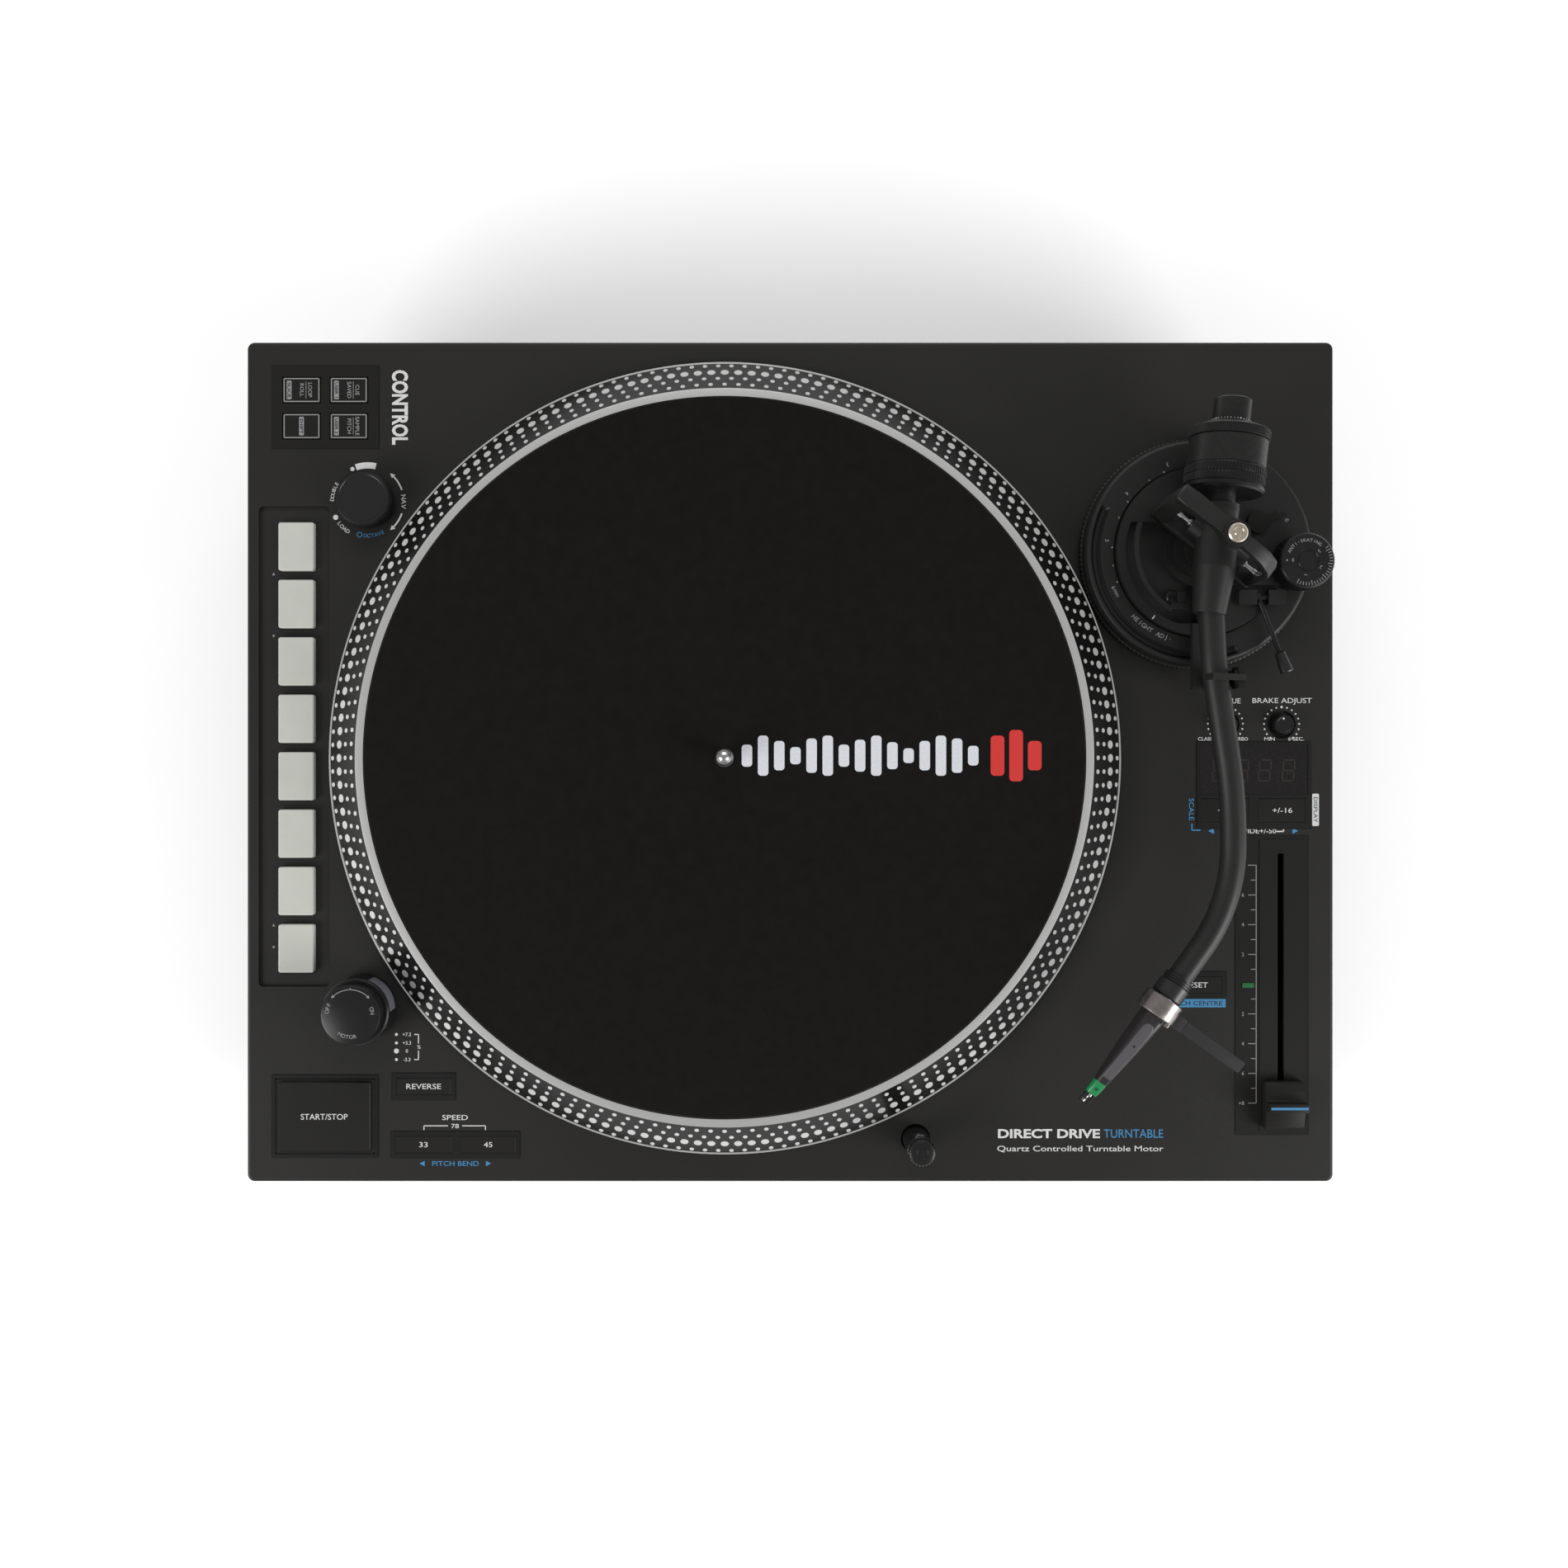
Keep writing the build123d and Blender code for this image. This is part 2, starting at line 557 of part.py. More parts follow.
# ================================================================ tonearm base
def height_ring():
    """The turning ring that sets the arm's height, with its finger groove and ribbed foot."""
    profile = [
        (RING_BORE_R, 0.4), (RING_OUTER_R, 0.4), (RING_OUTER_R, 3.0), (RING_OUTER_R - 1.0, 3.8),
        (RING_OUTER_R - 1.4, 7.6), (RING_OUTER_R - 2.6, RING_TOP), (RING_BORE_R, RING_TOP),
    ]
    ring = turned([(r, z_of(h)) for r, h in profile])
    outline = Plane.XZ * Polyline(
        (GROOVE_R - GROOVE_W / 2, z_of(RING_TOP - 2.2)), (GROOVE_R + GROOVE_W / 2, z_of(RING_TOP - 2.2)),
        (GROOVE_R + GROOVE_W / 2, z_of(RING_TOP + 1)), (GROOVE_R - GROOVE_W / 2, z_of(RING_TOP + 1)),
        close=True,
    )
    groove = Rot(0, 0, 153) * revolve(make_face(outline), Axis.Z, 139)
    return Pos(PIVOT_X, PIVOT_Y, 0) * (ring - groove)


def arm_base():
    """The block that rises with the ring: disc, guide, pillar, arm rest and dial housing."""
    low = 1.0
    disc = rod(PIVOT_X, PIVOT_Y, z_of(low), z_of(BASE_TOP), BASE_R)
    basin = rod(PIVOT_X, PIVOT_Y, z_of(BASE_TOP - 4), z_of(BASE_TOP) + 1, 31.5)
    basin -= rod(PIVOT_X, PIVOT_Y, PLATE_TOP, z_of(BASE_TOP) + 2, 15.0)
    basin = basin & block(PIVOT_X - 40, PIVOT_X - 1.5, PIVOT_Y - 30, PIVOT_Y + 12,
                          PLATE_TOP, z_of(20))
    disc -= basin
    guide = rod(PIVOT_X, PIVOT_Y, 62.0, z_of(low), GUIDE_R)
    guide -= rod(PIVOT_X, PIVOT_Y, 61.0, z_of(low) - 3, GUIDE_R - 4)
    pillar = rod(PIVOT_X, PIVOT_Y, z_of(low), z_of(PILLAR_TOP), PILLAR_R)
    bearing = rod(PIVOT_X, PIVOT_Y, 78.0, z_of(PILLAR_TOP) + 1, 5.0 + RUNNING)
    arm_y = REST_Y
    strut = block(PIVOT_X - 4.0, PIVOT_X + 6.5, arm_y - 3, PIVOT_Y - 30, z_of(RING_TOP + 0.6),
                  z_of(BASE_TOP + 0.6))
    post = block(PIVOT_X + 1.0, PIVOT_X + 6.5, arm_y - 3, arm_y + 3, z_of(RING_TOP + 0.6),
                 z_of(ARM_AXIS - TUBE_R - 2.4))
    shelf = block(PIVOT_X - 7.5, PIVOT_X + 9.0, arm_y - 2.5, arm_y + 2.5,
                  z_of(ARM_AXIS - TUBE_R - 2.4), z_of(ARM_AXIS - TUBE_R - 0.3))
    cheek = block(PIVOT_X + 6.4, PIVOT_X + 9.0, arm_y - 3.2, arm_y + 3.2,
                  z_of(ARM_AXIS - TUBE_R - 2.4), z_of(ARM_AXIS + 2.0))
    housing = block(PIVOT_X + 9.0, DIAL[0], 72.6, 92.4, z_of(RING_TOP + 0.6),
                    z_of(BASE_TOP + 2.0))
    drum = rod(*DIAL, z_of(RING_TOP + 0.6), z_of(DIAL_BOTTOM - 0.3), DIAL_R - 0.6)
    cue = block(183.5, 203.0, 64.4, 70.4, z_of(RING_TOP + 0.6), z_of(BASE_TOP + 4.0), 1.0)
    cue_foot = block(183.5, 190.0, 66.0, 76.0, z_of(RING_TOP + 0.6), z_of(BASE_TOP), 0)
    made = disc + guide + pillar + strut + post + shelf + cheek + housing + drum + cue + cue_foot
    made -= bearing
    made -= rod(*DIAL, z_of(RING_TOP - 1), z_of(DIAL_BOTTOM) + 1, 2.0 + RUNNING)
    made -= rod(*LOCK_KNOB, z_of(6.0), z_of(BASE_TOP) + 1, 2.0 + RUNNING)
    made -= rod(*LIFT_POST, z_of(1.5), z_of(BASE_TOP) + 1, 1.6 + RUNNING)
    made -= block(191.0, 195.8, 60.0, 72.0, z_of(BASE_TOP + 0.2), z_of(BASE_TOP + 5))
    made -= Pos(192.3, 67.4, z_of(BASE_TOP + 1.8)) * Rot(0, 90, 0) * Cylinder(1.0 + RUNNING, 14.0)
    pin = Rot(90, 0, 0) * Cylinder(0.8 + RUNNING, 9)
    made -= Pos(REST_HINGE_X, arm_y, z_of(REST_HINGE_HIGH)) * pin
    return made


def cue_lifter():
    """The lift: a post in the base, a straight bar beside the arm and the curved rail."""
    post = rod(*LIFT_POST, z_of(2.0), z_of(LIFT_TOP - 2.0), 1.6)
    bar = block(153.5, 160.8, 61.6, 64.0, z_of(LIFT_TOP - 2.4), z_of(LIFT_TOP))
    neck = block(156.4, 159.6, 62.0, 68.8, z_of(LIFT_TOP - 2.4), z_of(LIFT_TOP - 0.8))
    outline = Plane.XZ * Polyline(
        (29.0, z_of(LIFT_TOP - 2.4)), (30.8, z_of(LIFT_TOP - 2.4)), (30.8, z_of(LIFT_TOP)),
        (29.0, z_of(LIFT_TOP)), close=True,
    )
    rail = revolve(make_face(outline), Axis.Z, 78)
    rail = Pos(PIVOT_X, PIVOT_Y, 0) * Rot(0, 0, 161) * rail
    return post + bar + neck + rail


def cue_lever():
    """The cue lever: its cross shaft, the thin rod and the grip."""
    shaft = Pos(192.3, 67.4, z_of(BASE_TOP + 1.8)) * Rot(0, 90, 0) * Cylinder(1.0, 13.6)
    start = Vector(192.3, 67.4, z_of(BASE_TOP + 1.8))
    end = Vector(203.5, 37.6, z_of(BASE_TOP + 2.4))
    along = (end - start).normalized()
    length = (end - start).length
    frame = Plane(origin=start, z_dir=along)
    bar = frame.location * (Pos(0, 0, (length - 5) / 2) * Cylinder(0.9, length - 5))
    grip = frame.location * (Pos(0, 0, length - 3.5) * Cone(2.0, 2.6, 9.0))
    return shaft + bar + grip


def arm_clip():
    """The hinged clip over the arm rest: pin, bar across the tube, and the drop at its tip."""
    x, h = REST_HINGE_X, REST_HINGE_HIGH
    pin = Pos(x, REST_Y, z_of(h)) * Rot(90, 0, 0) * Cylinder(0.8, 8.6)
    ears = []
    for y in (REST_Y - 4.2, REST_Y + 3.3):
        ears.append(block(x - 1.3, x + 1.3, y, y + 0.9, z_of(h - 1.4), z_of(h + 6.2)))
    lean = 24.0
    bar = block(-15.4, 1.3, REST_Y - 1.3, REST_Y + 1.3, 0.0, 1.3)
    bar += block(-15.4, -14.2, REST_Y - 1.3, REST_Y + 1.3, -4.6, 0.6)
    bar = Pos(x, 0, z_of(h + 6.0)) * Rot(0, lean, 0) * bar
    bridge = block(x - 1.3, x + 1.3, REST_Y - 4.2, REST_Y + 4.2, z_of(h + 5.2), z_of(h + 6.6))
    made = pin + bar + bridge
    for ear in ears:
        made += ear
    return made


def anti_skate_dial():
    """The side-force dial, a drum with a stem."""
    made = rod(*DIAL, z_of(DIAL_BOTTOM), z_of(DIAL_TOP), DIAL_R)
    made = chamfered(made, z_of(DIAL_TOP), 0.8)
    return made + rod(*DIAL, z_of(RING_TOP + 0.8), z_of(DIAL_BOTTOM) + 1, 2.0)


def height_lock_knob():
    """The knob that locks the height ring, with its pointer."""
    low, high = z_of(BASE_TOP + 0.3), z_of(BASE_TOP + 1.9)
    made = rod(*LOCK_KNOB, low, high, 4.5)
    pointer = Pos(*LOCK_KNOB, 0) * Rot(0, 0, 17) * block(3.5, 12.0, -1.0, 1.0, low, high - 0.4)
    return made + pointer + rod(*LOCK_KNOB, z_of(7.0), low + 0.5, 2.0)


# ================================================================ tonearm
def at_pivot(shape):
    """Places a shape modelled about the gimbal's centre, with X along the pitch axis."""
    return Pos(PIVOT_X, PIVOT_Y, z_of(ARM_AXIS)) * Rot(0, 0, GIMBAL_TURN) * shape


def gimbal_yoke():
    """The turning bridge that carries the arm: arch, legs, lower bar, bearing shaft and pins."""
    top, top_low = 54.0 - ARM_AXIS, 48.5 - ARM_AXIS
    foot_low, foot_high = PILLAR_TOP + 0.4 - ARM_AXIS, 20.6 - ARM_AXIS
    arch = block(-27.0, 22.5, -3.6, 3.6, top_low, top, 1.2)
    arch = softened(arch, top, 1.0)
    left = block(-27.0, -20.4, -3.6, 3.6, foot_low, top_low, 1.2)
    right = block(19.4, 22.5, -3.0, 3.0, foot_low, top_low, 0.8)
    lower = block(-27.0, 22.5, -3.6, 3.6, foot_low, foot_high, 0.8)
    boss = Pos(0, 0, (top + top_low) / 2) * Cylinder(5.4, top - top_low)
    screw = Pos(0, 0, (56.0 - ARM_AXIS + top) / 2) * Cylinder(3.75, 56.0 - ARM_AXIS - top)
    shaft_low = 79.0 - z_of(ARM_AXIS)
    shaft = Pos(0, 0, (shaft_low + foot_low) / 2) * Cylinder(5.0, foot_low - shaft_low)
    seat = Pos(0, 0, foot_low + 1.0) * Cylinder(9.0, 2.0)
    pins = Pos(-17.0, 0, 0) * Rot(0, 90, 0) * Cylinder(1.5, 7.6)
    pins += Pos(16.6, 0, 0) * Rot(0, 90, 0) * Cylinder(1.5, 6.4)
    return at_pivot(arch + left + right + lower + boss + screw + shaft + seat + pins)


def arm_line():
    """The plane at the pivot whose normal points back along the arm's rear shaft."""
    lean = radians(ARM_LEAN)
    return Plane(
        origin=(PIVOT_X, PIVOT_Y, z_of(ARM_AXIS)),
        x_dir=(cos(lean), -sin(lean), 0),
        z_dir=(sin(lean), cos(lean), 0),
    )


def along_arm(radius, low, high):
    """A cylinder on the arm's rear line between two distances behind the pivot."""
    return arm_line().location * (Pos(0, 0, (low + high) / 2) * Cylinder(radius, high - low))


def head_line():
    """The plane where the tube ends, whose normal points along the cartridge."""
    turn = radians(HEAD_TURN)
    x, y = TUBE_ROUTE[-1]
    return Plane(
        origin=(x, y, z_of(ARM_AXIS)),
        x_dir=(cos(turn), sin(turn), 0),
        z_dir=(sin(turn), -cos(turn), 0),
    )


def tonearm_tube():
    """The arm: hub on the pitch axis, rear shaft, S-shaped tube and the ribbed socket ring."""
    route = FilletPolyline(
        *[(x, y, z_of(ARM_AXIS)) for x, y in TUBE_ROUTE], radius=list(TUBE_BENDS)
    )
    start = route @ 0
    heading = route % 0
    section = Plane(origin=start, z_dir=heading) * Circle(TUBE_R)
    tube = sweep(section, path=route)
    hub = along_arm(8.4, -10.0, 9.0)
    cone = Pos(0, 0, -19.0) * Rot(180, 0, 0) * Cone(8.4, 6.4, 19.0)
    hub += arm_line().location * cone
    hub += along_arm(7.0, 8.0, 15.5)
    hub += along_arm(SHAFT_R, 15.0, 46.0)
    ears = Rot(0, 90, 0) * Cylinder(4.0, 26.0)
    ears -= Rot(0, 90, 0) * Cylinder(1.5 + RUNNING, 27.0)
    bore = Rot(0, 90, 0) * Cylinder(1.5 + RUNNING, 40.0)
    socket = head_line().location * (Pos(0, 0, -1.0) * Cylinder(5.6, 3.0))
    made = hub + at_pivot(ears) + tube + socket
    return made - at_pivot(bore)


def weight_dial():
    """The numbered ring in front of the counterweight."""
    ring = along_arm(WEIGHT_R, 19.6, 29.8)
    return ring - along_arm(SHAFT_R + RUNNING, 19.0, 30.5)


def counterweight():
    """The counterweight: smooth drum, ribbed collar, shoulder and rear stub, on the shaft."""
    profile = [
        (SHAFT_R + RUNNING, 30.0), (WEIGHT_R - 0.5, 30.0), (WEIGHT_R - 0.5, 41.0), (WEIGHT_R, 41.4),
        (WEIGHT_R, 45.0), (8.0, 48.4), (7.35, 48.4), (7.35, 57.6), (0.0, 57.6), (0.0, 52.6),
        (SHAFT_R + RUNNING, 52.6),
    ]
    return arm_line().location * turned(profile)


def along_head(radius, low, high):
    """A cylinder on the cartridge's line between two distances past the tube's end."""
    return head_line().location * (Pos(0, 0, (low + high) / 2) * Cylinder(radius, high - low))


def lock_collar():
    """The ribbed collar that clamps the headshell."""
    made = along_head(COLLAR_R, 0.6, 7.0)
    return made - along_head(3.0 + RUNNING, 0.0, 8.0)


def head_place(s, side, height):
    """A point s past the tube's end, side across it and height above the deck."""
    line = head_line()
    return line.origin + line.z_dir * s + line.x_dir * side + Vector(0, 0, height - ARM_AXIS)


def across_head(s, width, low, high, tall_shift=0.0):
    """A rounded rectangle across the cartridge's line, for lofting the body."""
    line = head_line()
    centre = head_place(s, 0.0, (low + high) / 2 + tall_shift)
    plane = Plane(origin=centre, x_dir=line.x_dir, z_dir=line.z_dir)
    return plane * RectangleRounded(width, high - low, min(width, high - low) * 0.3)


def cartridge():
    """The one-piece headshell: plug, metal band, and a body that tapers down to its nose."""
    plug = along_head(3.0, 0.5, 7.4)
    band = along_head(BAND_R, 7.4, 15.4)
    sections = [
        across_head(15.4, 9.0, ARM_AXIS - 6.5, ARM_AXIS + 5.5),
        across_head(32.0, 7.2, ARM_AXIS - 9.0, ARM_AXIS + 3.0),
        across_head(50.0, 5.2, ARM_AXIS - 8.0, ARM_AXIS - 2.6),
    ]
    return plug + band + loft(sections)


def stylus():
    """The stylus unit: the coloured carrier under the nose, its fork and the needle."""
    carrier = loft([
        across_head(50.0, 5.0, ARM_AXIS - 8.0, ARM_AXIS - 2.8),
        across_head(56.0, 4.6, ARM_AXIS - 8.4, ARM_AXIS - 5.0),
    ])
    made = carrier
    for side in (-1.6, 1.6):
        at = head_place(58.3, side, ARM_AXIS - 7.0)
        line = head_line()
        prong = Plane(origin=at, x_dir=line.x_dir, z_dir=line.z_dir)
        made += prong.location * Box(1.2, 1.8, 5.0)
    needle = Plane(origin=head_place(58.2, 0.0, ARM_AXIS - 7.4), x_dir=head_line().x_dir,
                   z_dir=head_line().z_dir)
    made += needle.location * Box(1.0, 1.0, 5.2)
    tip = head_place(60.2, 0.0, TIP_HIGH)
    made += Pos(tip.X, tip.Y, z_of(TIP_HIGH + 1.4)) * Cone(0.15, 0.45, 2.8)
    return made


def finger_lift():
    """The flat finger lift that reaches out sideways from the band."""
    line = head_line()
    at = head_place(12.6, 0.0, ARM_AXIS)
    side = Plane(origin=at, x_dir=line.z_dir, z_dir=line.x_dir)
    bar = side.location * (Pos(0, 0, BAND_R + 16.0) * Box(5.0, 1.2, 33.0))
    pad = side.location * (Pos(0, 0, BAND_R + 2.0) * Box(5.0, 2.0, 5.0))
    return (bar + pad) - along_head(BAND_R, 5.0, 18.0)



# ================================================================ the set of pieces
def all_nodes():
    """Every piece, by name."""
    nodes = {
        "top_plate": top_plate(),
        "base_shell": base_shell(),
        "bottom_cover": bottom_cover(),
        "case_screws": case_screws(),
        "circuit_boards": circuit_boards(),
        "button_frames": button_frames(),
        "display_window": display_window(),
        "fader_plate": fader_plate(),
        "motor_stator": motor_stator(),
        "strobe_tower": strobe_tower(),
        "strobe_lens": strobe_lens(),
        "rear_sockets": rear_sockets(),
        "platter": platter(),
        "rotor_magnet": rotor_magnet(),
        "spindle": spindle(),
        "slipmat": slipmat(),
        "start_stop_button": start_stop_button(),
        "reverse_button": push_button(REVERSE),
        "speed_33_button": push_button(SPEED_33),
        "speed_45_button": push_button(SPEED_45),
        "reset_button": push_button(RESET),
        "scale_8_button": push_button(SCALE_8),
        "scale_16_button": push_button(SCALE_16),
        "pitch_fader": fader_cap(),
        "encoder_knob": encoder_knob(),
        "motor_knob": motor_knob(),
        "target_lamp": target_lamp(),
        "height_ring": height_ring(),
        "arm_base": arm_base(),
        "anti_skate_dial": anti_skate_dial(),
        "height_lock_knob": height_lock_knob(),
        "cue_lever": cue_lever(),
        "cue_lifter": cue_lifter(),
        "arm_clip": arm_clip(),
        "gimbal_yoke": gimbal_yoke(),
        "tonearm_tube": tonearm_tube(),
        "weight_dial": weight_dial(),
        "counterweight": counterweight(),
        "lock_collar": lock_collar(),
        "cartridge": cartridge(),
        "stylus": stylus(),
        "finger_lift": finger_lift(),
    }
    for k, button in enumerate(MODE_BUTTONS, 1):
        nodes[f"mode_button_{k}"] = push_button(button)
    for k, button in enumerate(PADS, 1):
        nodes[f"pad_{k}"] = pad(button)
    for name, place in TRIM_KNOBS.items():
        nodes[name] = trim_knob(place)
    for name, sx, sy in (
        ("foot_front_left", -1, -1), ("foot_front_right", 1, -1),
        ("foot_back_left", -1, 1), ("foot_back_right", 1, 1),
    ):
        nodes[name] = foot(sx, sy)
    return nodes


os.makedirs("parts", exist_ok=True)
for node, shape in all_nodes().items():
    export_step(shape, f"parts/{node}.step")
    print(node, round(shape.volume))
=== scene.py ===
"""Direct-drive record player: the shown pieces, their finishes, the studio and the camera."""

from math import atan2, cos, degrees, hypot, pi, radians, sin

import bmesh
import bpy
from bpy.props import FloatProperty, FloatVectorProperty, IntProperty, PointerProperty
from mathutils import Matrix, Vector


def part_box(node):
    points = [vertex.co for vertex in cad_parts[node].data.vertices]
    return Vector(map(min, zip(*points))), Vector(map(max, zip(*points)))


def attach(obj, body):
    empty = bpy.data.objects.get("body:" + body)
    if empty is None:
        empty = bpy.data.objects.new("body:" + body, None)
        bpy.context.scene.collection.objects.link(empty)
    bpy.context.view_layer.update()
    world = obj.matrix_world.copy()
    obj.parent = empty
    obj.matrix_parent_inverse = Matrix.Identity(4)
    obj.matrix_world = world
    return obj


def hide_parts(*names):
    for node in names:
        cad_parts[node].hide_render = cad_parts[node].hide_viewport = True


bl_info = {
    "name": "Record player",
    "version": (1, 0, 0),
    "blender": (4, 5, 0),
    "location": "3D View > Sidebar > Turntable",
    "description": "Builds the shown pieces of a direct-drive record player on its packed frame",
    "category": "Object",
}

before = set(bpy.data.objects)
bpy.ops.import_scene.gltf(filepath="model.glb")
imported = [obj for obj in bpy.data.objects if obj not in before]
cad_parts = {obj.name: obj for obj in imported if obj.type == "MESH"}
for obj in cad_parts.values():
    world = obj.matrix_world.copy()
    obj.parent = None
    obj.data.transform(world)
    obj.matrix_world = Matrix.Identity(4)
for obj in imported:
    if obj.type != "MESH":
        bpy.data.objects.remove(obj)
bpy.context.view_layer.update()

MM = 0.001
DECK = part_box("top_plate")[1].z / MM
PLATTER_LOW, PLATTER_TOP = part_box("platter")
AXIS_X = (PLATTER_LOW.x + PLATTER_TOP.x) / 2 / MM
AXIS_Y = (PLATTER_LOW.y + PLATTER_TOP.y) / 2 / MM

# Places and directions on the tonearm, in millimetres and degrees.
PIVOT = (169.5, 87.0)
ARM_HIGH = 31.0
ARM_LEAN = 6.5
GIMBAL_TURN = -38.0
HEAD_END = (153.1, -88.7)
HEAD_TURN = -35.5
BASE_TOP = 12.0
BASE_SCREW = (158.5, 68.4, 8.0)
CUE_START = (192.3, 67.4, 13.8)
CUE_END = (203.5, 37.6, 14.4)

# The platter's sloping rim: radius and height of its lower and upper corner, and how far past
# the corners its black coat reaches.
RIM_LOW = (165.2, 3.3)
RIM_HIGH = (151.3, 17.0)
COAT_LAP = 0.05


# ---------------------------------------------------------------- sizes and colours
def length(name, text, default):
    """A length in metres that can be changed in the panel."""
    return FloatProperty(name=name, description=text, default=default, unit="LENGTH", precision=5)


def tint(name, text, default):
    """A colour that can be changed in the panel."""
    return FloatVectorProperty(
        name=name, description=text, default=default, subtype="COLOR", size=3, min=0.0, max=1.0
    )


class TurntableSizes(bpy.types.PropertyGroup):
    """Sizes of the fine detail on the pieces."""

    dot_rim: length("Large dots", "Width of the large speed dots along the rim", 0.0034)
    dot_small: length("Small dots", "Width of the small speed dots along the rim", 0.0019)
    dot_proud: length("Dot height", "How far the dots stand off the rim", 0.00006)
    ink: length("Ink", "Thickness of the printed legends", 0.00004)
    rib_deep: length("Rib depth", "Depth of the ribs on knobs and rings", 0.0003)
    mat_edge: length("Mat edge", "Rounding of the felt mat's edge", 0.0006)
    steps: IntProperty(
        name="Round steps", description="Faces round a large turned piece", default=288, min=64
    )


class TurntableColours(bpy.types.PropertyGroup):
    """Colours of the finishes."""

    deck: tint("Deck", "Powder coat of the top plate", (0.0145, 0.0135, 0.0125))
    shell: tint("Body", "Moulded lower body", (0.010, 0.010, 0.010))
    panel: tint("Panel", "Frames, plates and push buttons", (0.0135, 0.0128, 0.0120))
    knob: tint("Knobs", "Knobs and turned rings", (0.0095, 0.0090, 0.0090))
    arm: tint("Tonearm", "Satin black of the tonearm", (0.0125, 0.012, 0.0115))
    felt: tint("Felt", "Slipmat", (0.0085, 0.0075, 0.0070))
    pads: tint("Pads", "Frosted rubber of the trigger pads", (0.60, 0.61, 0.56))
    metal: tint("Aluminium", "Bare turned metal", (0.84, 0.84, 0.83))
    white: tint("White ink", "White legends", (0.78, 0.78, 0.78))
    blue: tint("Blue ink", "Blue legends", (0.055, 0.27, 0.53))
    red: tint("Red print", "Red part of the mat's pattern", (0.70, 0.035, 0.030))
    grey: tint("Grey ink", "Fine grey legends", (0.33, 0.33, 0.33))
    green: tint("Stylus", "Stylus carrier", (0.012, 0.24, 0.075))
    lens: tint("Lens", "Strobe window", (0.21, 0.21, 0.255))


class TurntableStudio(bpy.types.PropertyGroup):
    """Camera, floor and light."""

    eye_x: length("Eye x", "Camera's place across the deck", -0.0200)
    eye_y: length("Eye y", "Camera's place along the deck", -0.0076)
    eye_high: length("Eye height", "Camera's height above the deck", 0.600)
    lens: FloatProperty(
        name="Lens", description="Focal length", default=32.7, min=10.0, unit="CAMERA"
    )
    shift_x: FloatProperty(name="Shift x", description="Sideways lens shift", default=0.0263)
    shift_y: FloatProperty(name="Shift y", description="Upward lens shift", default=-0.0026)
    key: FloatProperty(name="Key", description="Power of the side lights", default=21.0)
    ceiling: FloatProperty(name="Ceiling", description="Power of the back light", default=9.0)
    sky: FloatProperty(name="Room", description="Strength of the even room light", default=0.34)
    glow: FloatProperty(name="Glow", description="Light the floor gives back", default=0.24)
    floor: tint("Floor", "Pale floor", (1.0, 1.0, 1.0))


def mm(value):
    """Metres to millimetres."""
    return value / MM


def sizes():
    """The sizes of the scene being made."""
    return bpy.context.scene.turntable_sizes


def colours():
    """The colours of the scene being made."""
    return bpy.context.scene.turntable_colours


# ---------------------------------------------------------------- finishes
FINISHES = {}
# Sockets of a colour Mix node: factor, first and second colour, and the result.
MIX_FACTOR, MIX_FIRST, MIX_SECOND, MIX_RESULT = 0, 6, 7, 2


def new_finish(name, colour, rough, metallic=0.0, level=0.5):
    """Makes a material with the shader's steady values. Returns its node tree and the shader."""
    made = bpy.data.materials.new("finish_" + name)
    FINISHES[name] = made
    made.use_nodes = True
    shader = made.node_tree.nodes["Principled BSDF"]
    shader.inputs["Base Color"].default_value = (*colour, 1.0)
    shader.inputs["Roughness"].default_value = rough
    shader.inputs["Metallic"].default_value = metallic
    shader.inputs["Specular IOR Level"].default_value = level
    return made.node_tree, shader


def node(tree, kind, **values):
    """A new node with its settings and socket values."""
    made = tree.nodes.new(kind)
    for key, value in values.items():
        if key in made.inputs:
            made.inputs[key].default_value = value
        else:
            setattr(made, key, value)
    return made


def place_of(tree, centre=(0.0, 0.0, 0.0)):
    """A coordinate in metres measured from a centre."""
    where = tree.nodes.new("ShaderNodeTexCoord")
    mapping = tree.nodes.new("ShaderNodeMapping")
    mapping.inputs["Location"].default_value = [-c for c in centre]
    tree.links.new(where.outputs["Object"], mapping.inputs["Vector"])
    return mapping.outputs["Vector"]


def noise(tree, vector, scale, detail=3.0, rough=0.55):
    """A noise pattern of so many cells per metre."""
    made = node(tree, "ShaderNodeTexNoise", Scale=scale, Detail=detail, Roughness=rough)
    tree.links.new(vector, made.inputs["Vector"])
    return made.outputs["Fac"]


def spread(tree, value, low, high, at=(0.3, 0.7)):
    """A pattern's values moved to a range."""
    made = node(tree, "ShaderNodeMapRange")
    made.inputs["From Min"].default_value = at[0]
    made.inputs["From Max"].default_value = at[1]
    made.inputs["To Min"].default_value = low
    made.inputs["To Max"].default_value = high
    tree.links.new(value, made.inputs["Value"])
    return made.outputs["Result"]


def two_tone(tree, value, first, second):
    """One colour turning into another as a pattern goes from 0 to 1."""
    ramp = tree.nodes.new("ShaderNodeValToRGB")
    ramp.color_ramp.elements[0].color = (*first, 1.0)
    ramp.color_ramp.elements[1].color = (*second, 1.0)
    tree.links.new(value, ramp.inputs["Fac"])
    return ramp.outputs["Color"]


def raised(tree, value, depth, strength=1.0, under=None):
    """A bump of that depth in metres, laid over another one."""
    made = node(tree, "ShaderNodeBump", Strength=strength, Distance=depth)
    tree.links.new(value, made.inputs["Height"])
    if under is not None:
        tree.links.new(under, made.inputs["Normal"])
    return made.outputs["Normal"]


def shaded(colour, amount):
    """A colour made lighter or darker."""
    return tuple(min(1.0, max(0.0, c * amount)) for c in colour)


